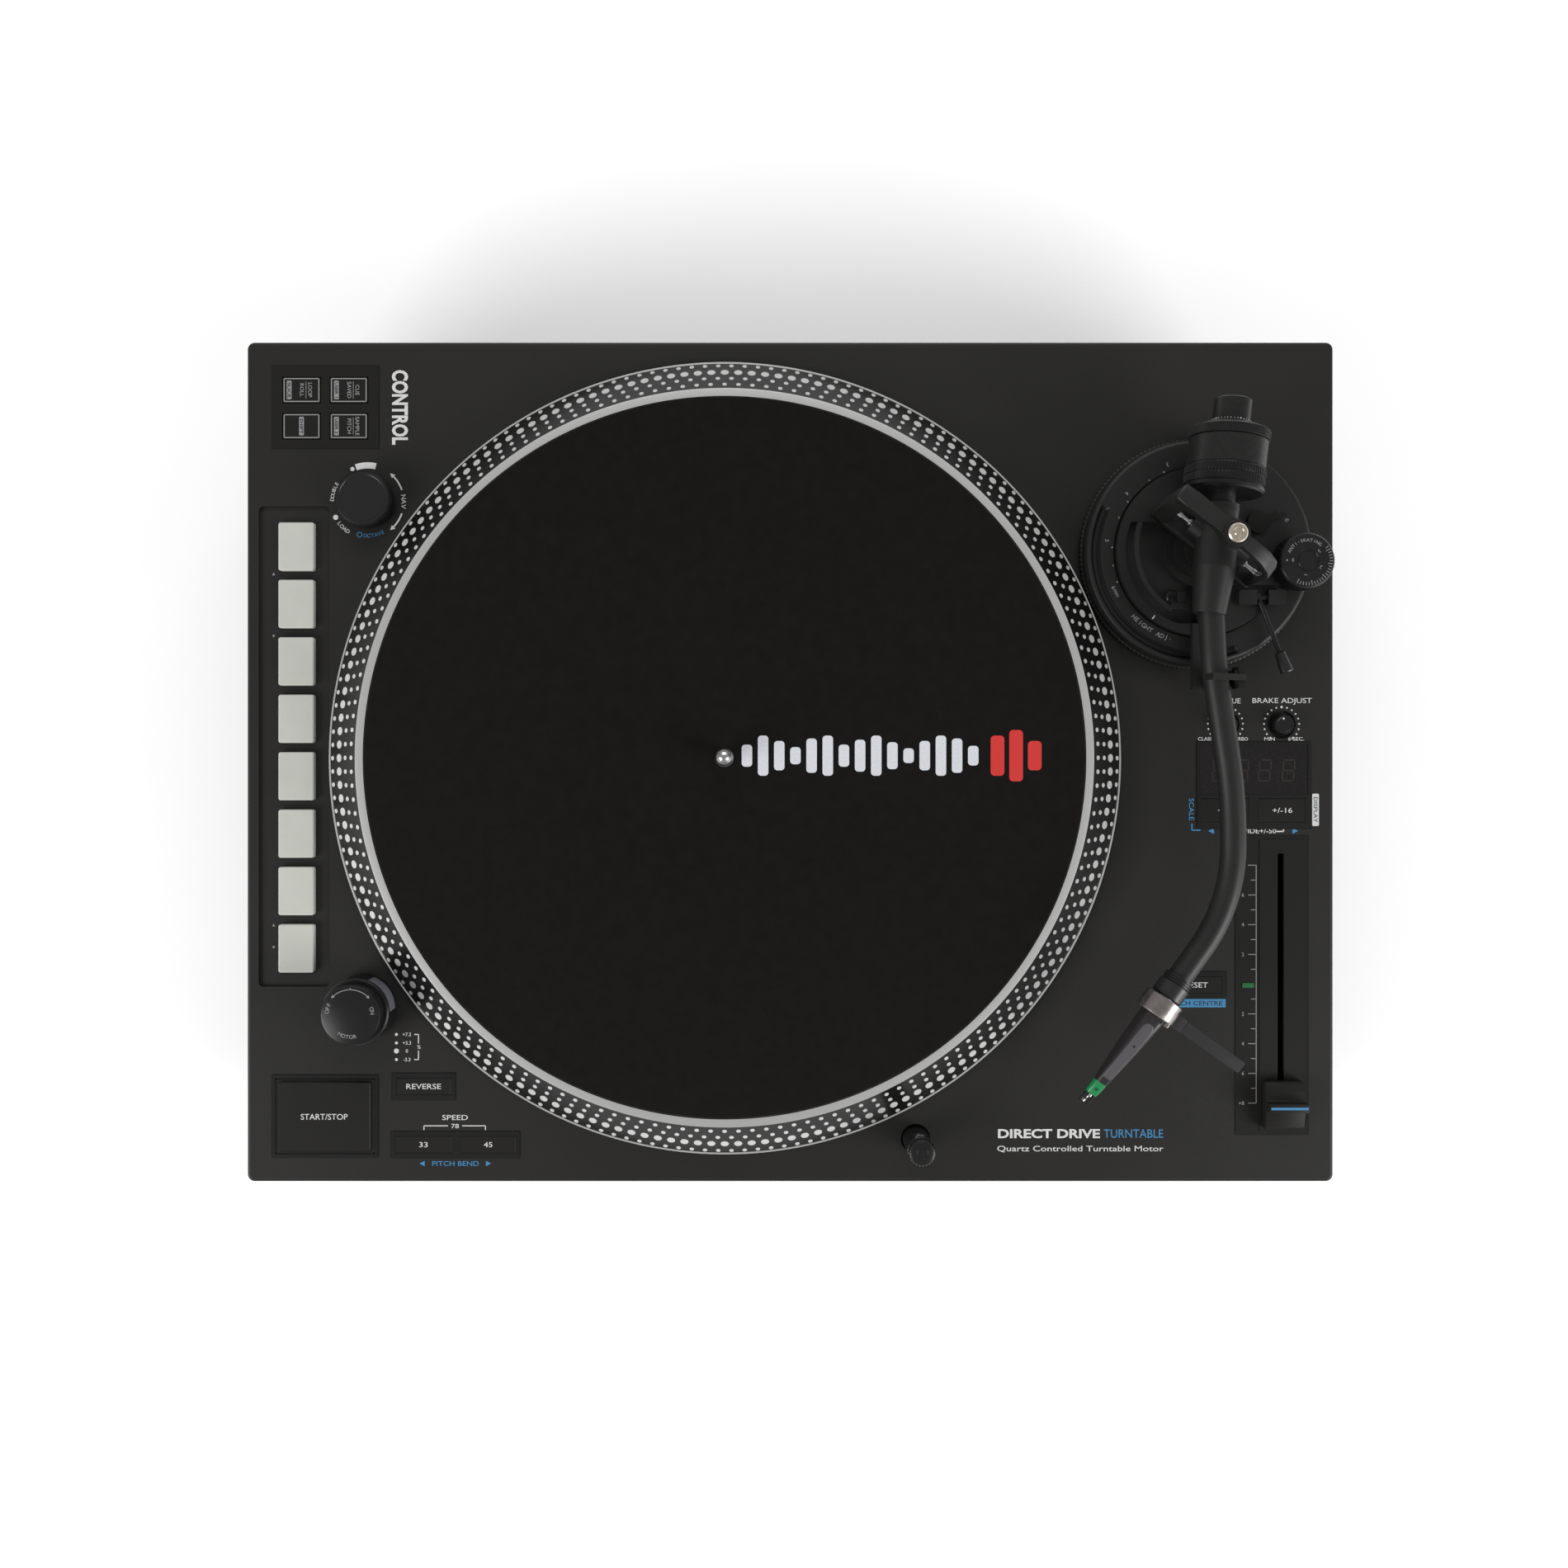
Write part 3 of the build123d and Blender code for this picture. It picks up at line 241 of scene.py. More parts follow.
def grained(name, colour, rough, cell=0.0006, depth=0.00003, wander=0.05, uneven=0.12, level=0.5):
    """A coated or moulded surface: fine grain, slow changes of tone and patches of rubbed gloss."""
    tree, shader = new_finish(name, colour, rough, level=level)
    where = place_of(tree)
    fine = noise(tree, where, 1.0 / cell, 2.0)
    slow = noise(tree, where, 14.0, 4.0)
    tone = two_tone(tree, spread(tree, slow, 0.0, 1.0), shaded(colour, 1 - uneven),
                    shaded(colour, 1 + uneven))
    tree.links.new(tone, shader.inputs["Base Color"])
    tree.links.new(spread(tree, slow, rough - wander, rough + wander), shader.inputs["Roughness"])
    tree.links.new(raised(tree, fine, depth), shader.inputs["Normal"])


def turned_metal(name, colour, rough, centre, pitch=0.00035, metallic=1.0, level=0.5, plane=True):
    """Metal with the rings that a lathe leaves round an axis."""
    tree, shader = new_finish(name, colour, rough, metallic, level)
    where = place_of(tree, centre)
    flat = node(tree, "ShaderNodeSeparateXYZ")
    tree.links.new(where, flat.inputs["Vector"])
    out = node(tree, "ShaderNodeCombineXYZ")
    tree.links.new(flat.outputs["X"], out.inputs["X"])
    tree.links.new(flat.outputs["Y"], out.inputs["Y"])
    if not plane:
        tree.links.new(flat.outputs["Z"], out.inputs["Z"])
    far = node(tree, "ShaderNodeVectorMath", operation="LENGTH")
    tree.links.new(out.outputs["Vector"], far.inputs[0])
    line = node(tree, "ShaderNodeTexNoise", noise_dimensions="1D", Scale=1.0 / pitch, Detail=2.0)
    tree.links.new(far.outputs["Value"], line.inputs["W"])
    cloud = noise(tree, where, 40.0, 3.0)
    tree.links.new(spread(tree, line.outputs["Fac"], rough - 0.07, rough + 0.09),
                   shader.inputs["Roughness"])
    tone = two_tone(tree, spread(tree, cloud, 0.0, 1.0), shaded(colour, 0.9), colour)
    tree.links.new(tone, shader.inputs["Base Color"])
    tree.links.new(raised(tree, line.outputs["Fac"], 0.00001, 0.5), shader.inputs["Normal"])


def polished(name, colour, rough):
    """Plated metal with faint smears."""
    tree, shader = new_finish(name, colour, rough, 1.0)
    where = place_of(tree)
    smear = noise(tree, where, 260.0, 2.0)
    tree.links.new(spread(tree, smear, rough * 0.8, rough * 1.3), shader.inputs["Roughness"])
    tree.links.new(raised(tree, smear, 0.000001), shader.inputs["Normal"])


def felt(name, colour):
    """Pressed wool: short fibres lying every way, with a soft sheen and stray lint."""
    tree, shader = new_finish(name, colour, 0.95, level=0.05)
    where = place_of(tree)
    fibre = noise(tree, where, 2600.0, 5.0, 0.7)
    clump = noise(tree, where, 210.0, 4.0)
    lint = node(tree, "ShaderNodeTexVoronoi", Scale=420.0)
    tree.links.new(where, lint.inputs["Vector"])
    tone = two_tone(tree, spread(tree, clump, 0.0, 1.0), shaded(colour, 0.88), shaded(colour, 1.14))
    speck = node(tree, "ShaderNodeMix", data_type="RGBA", clamp_factor=True)
    tree.links.new(spread(tree, lint.outputs["Distance"], 0.30, 0.0, (0.0, 0.07)),
                   speck.inputs[MIX_FACTOR])
    tree.links.new(tone, speck.inputs[MIX_FIRST])
    speck.inputs[MIX_SECOND].default_value = (*shaded(colour, 5.0), 1.0)
    tree.links.new(speck.outputs[MIX_RESULT], shader.inputs["Base Color"])
    shader.inputs["Sheen Weight"].default_value = 0.03
    shader.inputs["Sheen Roughness"].default_value = 0.6
    lifted = raised(tree, clump, 0.00025, 0.5)
    tree.links.new(raised(tree, fibre, 0.00012, 0.8, lifted), shader.inputs["Normal"])


def printed(name, colour, rough=0.45):
    """Screen-printed ink with pinholes of thinner ink."""
    tree, shader = new_finish(name, colour, rough)
    where = place_of(tree)
    thin = noise(tree, where, 1900.0, 3.0)
    tone = two_tone(tree, spread(tree, thin, 0.0, 1.0), shaded(colour, 0.86), colour)
    tree.links.new(tone, shader.inputs["Base Color"])
    tree.links.new(spread(tree, thin, rough - 0.05, rough + 0.1), shader.inputs["Roughness"])
    tree.links.new(raised(tree, thin, 0.00001), shader.inputs["Normal"])


def frosted(name, colour):
    """Translucent rubber lit a little from inside."""
    tree, shader = new_finish(name, colour, 0.62, level=0.35)
    where = place_of(tree)
    skin = noise(tree, where, 1500.0, 3.0)
    cloud = noise(tree, where, 60.0, 3.0)
    tone = two_tone(tree, spread(tree, cloud, 0.0, 1.0), shaded(colour, 0.95), shaded(colour, 1.03))
    tree.links.new(tone, shader.inputs["Base Color"])
    shader.inputs["Subsurface Weight"].default_value = 0.25
    shader.inputs["Subsurface Radius"].default_value = (0.8, 0.8, 0.6)
    shader.inputs["Subsurface Scale"].default_value = 0.002
    tree.links.new(raised(tree, skin, 0.00002), shader.inputs["Normal"])


def smoked(name):
    """A dark glossy pane with fine dust."""
    colour = (0.010, 0.0085, 0.0085)
    tree, shader = new_finish(name, colour, 0.12, level=0.4)
    where = place_of(tree)
    dust = noise(tree, where, 900.0, 5.0, 0.7)
    tree.links.new(spread(tree, dust, 0.10, 0.30, (0.5, 0.75)), shader.inputs["Roughness"])
    tone = two_tone(tree, spread(tree, dust, 0.0, 1.0, (0.5, 0.8)), colour, shaded(colour, 2.2))
    tree.links.new(tone, shader.inputs["Base Color"])


def strobe_glass(name, colour):
    """The milky window of the strobe."""
    tree, shader = new_finish(name, colour, 0.25, level=0.5)
    where = place_of(tree)
    milk = noise(tree, where, 120.0, 3.0)
    tone = two_tone(tree, spread(tree, milk, 0.0, 1.0), shaded(colour, 0.85), shaded(colour, 1.1))
    tree.links.new(tone, shader.inputs["Base Color"])
    shader.inputs["Coat Weight"].default_value = 0.4
    shader.inputs["Coat Roughness"].default_value = 0.1


def platter_coat(name):
    """Black anodised rim between the bare turned metal of the ring and of the flange's edge."""
    black = (0.0075, 0.0072, 0.0070)
    tree, shader = new_finish(name, black, 0.34, level=0.25)
    where = place_of(tree, (AXIS_X * MM, AXIS_Y * MM, 0.0))
    part = node(tree, "ShaderNodeSeparateXYZ")
    tree.links.new(where, part.inputs["Vector"])
    out = node(tree, "ShaderNodeCombineXYZ")
    tree.links.new(part.outputs["X"], out.inputs["X"])
    tree.links.new(part.outputs["Y"], out.inputs["Y"])
    far = node(tree, "ShaderNodeVectorMath", operation="LENGTH")
    tree.links.new(out.outputs["Vector"], far.inputs[0])
    ring = node(tree, "ShaderNodeMath", operation="LESS_THAN")
    ring.inputs[1].default_value = (RIM_HIGH[0] + COAT_LAP) * MM
    tree.links.new(far.outputs["Value"], ring.inputs[0])
    edge = node(tree, "ShaderNodeMath", operation="GREATER_THAN")
    edge.inputs[1].default_value = (RIM_LOW[0] + COAT_LAP) * MM
    tree.links.new(far.outputs["Value"], edge.inputs[0])
    bare = node(tree, "ShaderNodeMath", operation="MAXIMUM")
    tree.links.new(ring.outputs["Value"], bare.inputs[0])
    tree.links.new(edge.outputs["Value"], bare.inputs[1])
    line = node(tree, "ShaderNodeTexNoise", noise_dimensions="1D", Scale=2600.0, Detail=2.0)
    tree.links.new(far.outputs["Value"], line.inputs["W"])
    tree.links.new(bare.outputs["Value"], shader.inputs["Metallic"])
    tree.links.new(two_tone(tree, bare.outputs["Value"], black, tuple(colours().metal)),
                   shader.inputs["Base Color"])
    bright = spread(tree, bare.outputs["Value"], 0.22, 0.34, (0.0, 1.0))
    vary = node(tree, "ShaderNodeMath", operation="MULTIPLY_ADD")
    tree.links.new(line.outputs["Fac"], vary.inputs[0])
    vary.inputs[1].default_value = 0.12
    tree.links.new(bright, vary.inputs[2])
    tree.links.new(vary.outputs["Value"], shader.inputs["Roughness"])
    tree.links.new(raised(tree, line.outputs["Fac"], 0.00001, 0.4), shader.inputs["Normal"])


def wrapped_wire(name):
    """Enamelled copper windings, darkened as painted shade in the grooves between the turns."""
    colour = (0.42, 0.13, 0.045)
    tree, shader = new_finish(name, colour, 0.3, 0.8)
    where = place_of(tree)
    wires = node(tree, "ShaderNodeTexWave", Scale=900.0, Distortion=1.5)
    tree.links.new(where, wires.inputs["Vector"])
    # Painted shade: the waves' low parts, which the bump sinks into grooves, are darkened to 0.4 of the
    # copper colour.
    tone = two_tone(tree, wires.outputs["Fac"], shaded(colour, 0.4), colour)
    tree.links.new(tone, shader.inputs["Base Color"])
    tree.links.new(raised(tree, wires.outputs["Fac"], 0.0001), shader.inputs["Normal"])


def make_finishes():
    """Every finish of the record player, by name."""
    c = colours()
    arm_centre = (PIVOT[0] * MM, PIVOT[1] * MM, 0.0)
    platter_centre = (AXIS_X * MM, AXIS_Y * MM, 0.0)
    grained("deck_powder", c.deck, 0.52, 0.0005, 0.00006, 0.04, 0.07, 0.32)
    grained("body_moulding", c.shell, 0.62, 0.0007, 0.00008, 0.05, 0.15, 0.35)
    grained("panel_black", c.panel, 0.50, 0.0004, 0.00002, 0.04, 0.08, 0.18)
    grained("button_black", c.panel, 0.48, 0.0004, 0.00001, 0.04, 0.08, 0.20)
    grained("knob_black", c.knob, 0.36, 0.0005, 0.00001, 0.05, 0.1, 0.38)
    grained("arm_satin", c.arm, 0.46, 0.0004, 0.00001, 0.05, 0.1, 0.42)
    grained("base_satin", c.arm, 0.46, 0.0004, 0.00002, 0.05, 0.1, 0.38)
    grained("foot_rubber", (0.012, 0.012, 0.012), 0.8, 0.0009, 0.0001, 0.08, 0.2, 0.3)
    grained("cartridge_body", (0.022, 0.020, 0.020), 0.30, 0.0006, 0.000008, 0.05, 0.1, 0.5)
    grained("cartridge_inlay", (0.085, 0.080, 0.086), 0.42, 0.0004, 0.00001, 0.05, 0.06, 0.5)
    grained("finger_lift_coat", (0.028, 0.026, 0.027), 0.34, 0.0005, 0.00001, 0.05, 0.1, 0.5)
    grained("board_green", (0.004, 0.020, 0.010), 0.35, 0.0012, 0.00005, 0.08, 0.3, 0.5)
    grained("stylus_green", c.green, 0.34, 0.0006, 0.00001, 0.05, 0.08, 0.5)
    grained("lamp_green", (0.020, 0.150, 0.045), 0.25, 0.0006, 0.00001, 0.05, 0.1, 0.5)
    grained("socket_plastic", (0.016, 0.016, 0.016), 0.5, 0.0005, 0.00002, 0.05, 0.1, 0.4)
    grained("ghost_digit", (0.030, 0.024, 0.022), 0.5, 0.0008, 0.00001, 0.05, 0.1, 0.3)
    grained("collar_black", (0.014, 0.0135, 0.0135), 0.33, 0.0005, 0.00001, 0.05, 0.1, 0.55)
    turned_metal("weight_satin", (0.018, 0.0175, 0.017), 0.36, arm_centre, 0.0009, 0.2, 0.35, plane=False)
    turned_metal("spun_black", (0.021, 0.020, 0.020), 0.27, (-0.178, 0.1096, 0.0), 0.0003, 0.35)
    turned_metal("dot_metal", (0.70, 0.70, 0.69), 0.5, platter_centre, 0.0008, 0.2)
    polished("chrome", (0.80, 0.80, 0.80), 0.14)
    polished("steel", (0.56, 0.56, 0.57), 0.30)
    polished("brass", (0.80, 0.71, 0.58), 0.28)
    polished("band_metal", (0.36, 0.325, 0.31), 0.30)
    polished("gold", (0.90, 0.62, 0.25), 0.2)
    grained("magnet_dark", (0.050, 0.050, 0.055), 0.5, 0.0008, 0.00005, 0.05, 0.15, 0.5)
    felt("black_felt", c.felt)
    printed("white_ink", c.white)
    printed("blue_ink", c.blue)
    printed("grey_ink", c.grey)
    printed("dark_ink", (0.012, 0.020, 0.035))
    # Painted shade: near-black lines drawn round the frames and buttons stand for the shade in their gaps.
    printed("gap_shade_black", (0.0015, 0.0015, 0.0015), 0.8)
    printed("mat_white", (0.74, 0.77, 0.82), 0.8)
    printed("mat_red", c.red, 0.8)
    frosted("pad_rubber", c.pads)
    smoked("smoked_pane")
    strobe_glass("strobe_window", c.lens)
    platter_coat("platter_coat")
    wrapped_wire("copper_coils")


def finish(name):
    """A finish that was made before."""
    return FINISHES[name]


def dress(names, finish_name):
    """Gives carried-over nodes a finish."""
    for name in names:
        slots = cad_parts[name].data.materials
        slots.clear()
        slots.append(finish(finish_name))


# ---------------------------------------------------------------- shaping, in millimetres
def show(name, bm, finish_name, body, slot, replaced=(), crease=32.0):
    """Turns a mesh modelled in millimetres into a piece that rides on a body."""
    bmesh.ops.recalc_face_normals(bm, faces=bm.faces)
    mesh = bpy.data.meshes.new(name)
    bm.to_mesh(mesh)
    bm.free()
    mesh.transform(Matrix.Scale(MM, 4))
    mesh.shade_smooth()
    mesh.set_sharp_from_angle(angle=radians(crease))
    mesh.materials.append(finish(finish_name))
    piece = bpy.data.objects.new(name, mesh)
    bpy.context.scene.collection.objects.link(piece)
    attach(piece, body)
    if replaced:
        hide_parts(*replaced)
    return piece


def at(x=0.0, y=0.0, z=0.0, turn=0.0):
    """A place on the deck: x, y, height above the deck, and a turn about the upright."""
    return Matrix.Translation((x, y, DECK + z)) @ Matrix.Rotation(radians(turn), 4, "Z")


def line_frame(x, y, high, along):
    """A place whose z axis points along a level direction and whose y axis is up."""
    z_axis = Vector(along).normalized()
    up = Vector((0, 0, 1))
    x_axis = up.cross(z_axis).normalized()
    turned = Matrix((x_axis, z_axis.cross(x_axis), z_axis)).transposed().to_4x4()
    return Matrix.Translation((x, y, DECK + high)) @ turned


def rear_line():
    """The tonearm's rear line: z runs back from the pivot."""
    lean = radians(ARM_LEAN)
    return line_frame(*PIVOT, ARM_HIGH, (sin(lean), cos(lean), 0))


def head_line():
    """The headshell's line: z runs from the tube's end to the stylus."""
    turn = radians(HEAD_TURN)
    return line_frame(*HEAD_END, ARM_HIGH, (sin(turn), -cos(turn), 0))


def gimbal():
    """The place of the bearing yoke, with x along the pitch axis."""
    return at(*PIVOT, 0.0, GIMBAL_TURN)


def ribs(count, depth):
    """A rule that sinks every other narrow strip of the points tagged 1."""

    def rule(r, z, tag, angle):
        if tag == 1 and (angle / (2 * pi) * count) % 1.0 > 0.5:
            return r - depth, z
        return r, z

    return rule


def lathe(bm, profile, place=Matrix(), steps=64, rule=None):
    """Turns a profile of (radius, z, tag) about z. It closes at the axis or onto its first point."""
    rings = []
    for point in profile:
        r, z = point[0], point[1]
        tag = point[2] if len(point) > 2 else 0
        if r <= 0.0:
            rings.append([bm.verts.new(place @ Vector((0, 0, z)))])
            continue
        ring = []
        for k in range(steps):
            angle = 2 * pi * (k + 0.25) / steps
            far, high = rule(r, z, tag, angle) if rule else (r, z)
            ring.append(bm.verts.new(place @ Vector((far * cos(angle), far * sin(angle), high))))
        rings.append(ring)
    pairs = list(zip(rings, rings[1:]))
    if len(rings[0]) > 1 and len(rings[-1]) > 1:
        pairs.append((rings[-1], rings[0]))
    for low, high in pairs:
        if len(low) == 1 and len(high) == 1:
            continue
        for k in range(steps):
            n = (k + 1) % steps
            if len(low) == 1:
                bm.faces.new((low[0], high[k], high[n]))
            elif len(high) == 1:
                bm.faces.new((low[k], low[n], high[0]))
            else:
                bm.faces.new((low[k], low[n], high[n], high[k]))


def turned(name, profile, place, finish_name, body, slot, replaced=(), steps=64, rule=None):
    """A piece turned on a lathe."""
    bm = bmesh.new()
    lathe(bm, profile, place, steps, rule)
    return show(name, bm, finish_name, body, slot, replaced)


def merge(bm, part):
    """Adds one mesh to another."""
    mesh = bpy.data.meshes.new("part")
    part.to_mesh(mesh)
    part.free()
    bm.from_mesh(mesh)
    bpy.data.meshes.remove(mesh)


def block(bm, x0, x1, y0, y1, z0, z1, place=Matrix(), bevel=0.0):
    """A box between two corners with softened edges."""
    part = bmesh.new()
    size = Matrix.Diagonal((x1 - x0, y1 - y0, z1 - z0, 1.0))
    middle = Matrix.Translation(((x0 + x1) / 2, (y0 + y1) / 2, (z0 + z1) / 2))
    bmesh.ops.create_cube(part, size=1.0, matrix=place @ middle @ size)
    if bevel:
        bmesh.ops.bevel(part, geom=part.edges, offset=bevel, segments=2, affect="EDGES",
                        profile=0.5)
    merge(bm, part)


def prism(bm, outline, z0, z1, place=Matrix(), bevel=0.0):
    """A closed outline raised between two heights, with a softened upper edge."""
    part = bmesh.new()
    low = [part.verts.new(place @ Vector((x, y, z0))) for x, y in outline]
    high = [part.verts.new(place @ Vector((x, y, z1))) for x, y in outline]
    part.faces.new(low[::-1])
    top = part.faces.new(high)
    for k in range(len(low)):
        n = (k + 1) % len(low)
        part.faces.new((low[k], low[n], high[n], high[k]))
    if bevel:
        bmesh.ops.bevel(part, geom=list(top.edges), offset=bevel, segments=3, affect="EDGES",
                        profile=0.5)
    merge(bm, part)


def loft(bm, sections):
    """A closed skin over sections with equal numbers of points."""
    rings = [[bm.verts.new(p) for p in section] for section in sections]
    count = len(rings[0])
    for low, high in zip(rings, rings[1:]):
        for k in range(count):
            n = (k + 1) % count
            bm.faces.new((low[k], low[n], high[n], high[k]))
    bm.faces.new(rings[0][::-1])
    bm.faces.new(rings[-1])


def squircle(wide, low, high, power=4.0, count=32):
    """The points of a rounded rectangle between two heights, about x = 0."""
    points = []
    for k in range(count):
        a = 2 * pi * k / count
        reach = (abs(cos(a)) ** power + abs(sin(a)) ** power) ** (-1 / power)
        points.append((wide / 2 * cos(a) * reach, (low + high) / 2 + (high - low) / 2 * sin(a) * reach))
    return points


def rounded(x0, x1, y0, y1, corner):
    """The outline of a rounded rectangle."""
    count = 5
    points = []
    for cx, cy, start in ((x1 - corner, y1 - corner, 0), (x0 + corner, y1 - corner, 90),
                          (x0 + corner, y0 + corner, 180), (x1 - corner, y0 + corner, 270)):
        for k in range(count + 1):
            a = radians(start + 90 * k / count)
            points.append((cx + corner * cos(a), cy + corner * sin(a)))
    return points


def rod(bm, points, radii, count=20):
    """A round rod through points, with a radius at each."""
    sections = []
    for k, (point, radius) in enumerate(zip(points, radii)):
        before = Vector(points[max(0, k - 1)])
        after = Vector(points[min(len(points) - 1, k + 1)])
        axis = (after - before).normalized()
        side = axis.orthogonal().normalized() if k == 0 else (side - axis * side.dot(axis)).normalized()
        other = axis.cross(side)
        ring = []
        for n in range(count):
            a = 2 * pi * n / count
            ring.append(Vector(point) + side * (radius * cos(a)) + other * (radius * sin(a)))
        sections.append(ring)
    loft(bm, sections)


# ---------------------------------------------------------------- printing, in millimetres
# Height of a capital letter as a share of the font's size.
CAPITAL = 0.72


class Print:
    """A set of printed marks at one level, in one ink."""

    def __init__(self, high):
        self.bm = bmesh.new()
        self.low = high
        self.high = high + mm(sizes().ink)

    def shape(self, outline):
        """A filled outline."""
        prism(self.bm, outline, self.low, self.high, at())

    def text(self, words, x, y, wide=None, cap=1.8, turn=0.0, bold=0.003):
        """Words centred on a place, with their length and capital height given."""
        curve = bpy.data.curves.new("words", "FONT")
        curve.body = words
        curve.align_x = "CENTER"
        curve.align_y = "CENTER"
        curve.extrude = 0.5
        curve.offset = bold
        curve.resolution_u = 3
        holder = bpy.data.objects.new("words", curve)
        mesh = bpy.data.meshes.new_from_object(holder)
        xs = [v.co.x for v in mesh.vertices]
        ys = [v.co.y for v in mesh.vertices]
        tall = cap / CAPITAL
        broad = wide / (max(xs) - min(xs)) if wide else tall
        middle = Matrix.Translation((-(max(xs) + min(xs)) / 2, -(max(ys) + min(ys)) / 2, 0))
        scale = Matrix.Diagonal((broad, tall, self.high - self.low, 1.0))
        lift = Matrix.Translation((x, y, (self.low + self.high) / 2))
        spin = Matrix.Rotation(radians(turn), 4, "Z")
        mesh.transform(at() @ lift @ spin @ scale @ middle)
        self.bm.from_mesh(mesh)
        bpy.data.objects.remove(holder)
        bpy.data.curves.remove(curve)
        bpy.data.meshes.remove(mesh)

    def arc_text(self, words, x, y, radius, middle, cap=1.6, inward=False, pitch=0.86):
        """Words along an arc about a centre. The letters' feet or heads point inward."""
        step = degrees(cap * pitch / radius)
        way = 1 if inward else -1
        for k, letter in enumerate(words):
            if letter == " ":
                continue
            a = middle + way * step * (k - (len(words) - 1) / 2)
            lean = a + 90 if inward else a - 90
            self.text(letter, x + radius * cos(radians(a)), y + radius * sin(radians(a)),
                      cap=cap, turn=lean)

    def dot(self, x, y, radius):
        """A round dot."""
        count = 14
        self.shape([(x + radius * cos(2 * pi * k / count), y + radius * sin(2 * pi * k / count))
                    for k in range(count)])

    def bar(self, x0, y0, x1, y1, wide):
        """A straight stroke between two points."""
        reach = hypot(x1 - x0, y1 - y0)
        ox, oy = -(y1 - y0) / reach * wide / 2, (x1 - x0) / reach * wide / 2
        self.shape([(x0 + ox, y0 + oy), (x0 - ox, y0 - oy), (x1 - ox, y1 - oy), (x1 + ox, y1 + oy)])

    def path(self, points, wide):
        """Strokes from point to point."""
        for (x0, y0), (x1, y1) in zip(points, points[1:]):
            self.bar(x0, y0, x1, y1, wide)

    def arc(self, x, y, radius, start, end, wide):
        """A stroke along an arc."""
        count = max(6, int(abs(end - start) / 5))
        angles = [radians(start + (end - start) * k / count) for k in range(count + 1)]
        outer = [(x + (radius + wide / 2) * cos(a), y + (radius + wide / 2) * sin(a)) for a in angles]
        inner = [(x + (radius - wide / 2) * cos(a), y + (radius - wide / 2) * sin(a)) for a in angles]
        self.shape(outer + inner[::-1])

    def arrow(self, x, y, turn, size):
        """A triangle that points along a direction."""
        points = []
        for reach, a in ((0.62, 0), (0.62, 125), (0.62, 235)):
            bearing = radians(turn + a)
            points.append((x + size * reach * cos(bearing), y + size * reach * sin(bearing)))
        self.shape(points)

    def frame(self, x0, x1, y0, y1, wide):
        """The outline of a rectangle."""
        self.path([(x0, y0), (x1, y0), (x1, y1), (x0, y1), (x0, y0)], wide)

    def show(self, name, ink, body, slot):
        """Shows the marks as one piece."""
        return show(name, self.bm, ink, body, slot)


# ---------------------------------------------------------------- places
def centre(name):
    """The middle of a CAD node seen from above, in millimetres."""
    low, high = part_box(name)
    return mm((low.x + high.x) / 2), mm((low.y + high.y) / 2)


def top(name):
    """The height of a CAD node's top above the deck, in millimetres."""
    return mm(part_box(name)[1].z) - DECK


# ---------------------------------------------------------------- body
def build_body():
    """Finishes for the deck, the body and what is inside it."""
    dress(["top_plate"], "deck_powder")
    dress(["base_shell", "bottom_cover"], "body_moulding")
    dress(["case_screws"], "steel")
    dress(["circuit_boards"], "board_green")
    dress(["button_frames", "fader_plate"], "panel_black")
    dress(["display_window"], "smoked_pane")
    dress(["motor_stator"], "copper_coils")
    dress(["rotor_magnet"], "magnet_dark")


# ---------------------------------------------------------------- platter
# Rows of speed dots, from the bottom of the rim up: how many, how far up, and whether large.
DOT_ROWS = ((186, 0.087, False), (180, 0.356, True), (174, 0.606, False), (168, 0.846, False))


def build_platter():
    """The platter, turned on a lathe, and the steel spindle."""
    bm = bmesh.new()
    profile = [
        (4.02, -2.0), (18.0, -2.0), (22.0, 9.0), (138.0, 9.0), (150.0, 4.5), (156.0, 1.5),
        (165.6, 1.5), (166.0, 1.9), (166.0, 3.1), (165.8, 3.3), RIM_LOW, RIM_HIGH,
        (150.9, 17.05), (148.1, 17.05), (147.8, 16.7), (147.8, 15.2), (4.02, 15.2),
    ]
    lathe(bm, profile, at(AXIS_X, AXIS_Y), sizes().steps)
    show("platter_casting", bm, "platter_coat", "platter", "platter_alu", ["platter"])
    dress(["spindle"], "steel")


def build_dots():
    """The speed dots: four rows of bare metal spots on the black rim."""
    bm = bmesh.new()
    slope = Vector((RIM_HIGH[0] - RIM_LOW[0], RIM_HIGH[1] - RIM_LOW[1]))
    reach = slope.length
    proud = mm(sizes().dot_proud)
    for count, up, large in DOT_ROWS:
        wide = mm(sizes().dot_rim if large else sizes().dot_small)
        tall = wide * (1.12 if large else 1.2)
        r = RIM_LOW[0] + slope.x * up
        h = RIM_LOW[1] + slope.y * up
        for k in range(count):
            a = 2 * pi * k / count
            out = Vector((cos(a), sin(a), 0))
            along = Vector((-sin(a), cos(a), 0))
            climb = (out * slope.x + Vector((0, 0, slope.y))) / reach
            face = (out * slope.y - Vector((0, 0, slope.x))) / reach
            spot = Matrix((along, climb, face)).transposed().to_4x4()
            spot.translation = Vector((AXIS_X, AXIS_Y, DECK + h)) + out * r
            outline = [(wide / 2 * cos(2 * pi * n / 14), tall / 2 * sin(2 * pi * n / 14))
                       for n in range(14)]
            prism(bm, outline, -0.02, proud, spot)
    show("speed_dots", bm, "dot_metal", "platter", "platter_alu")


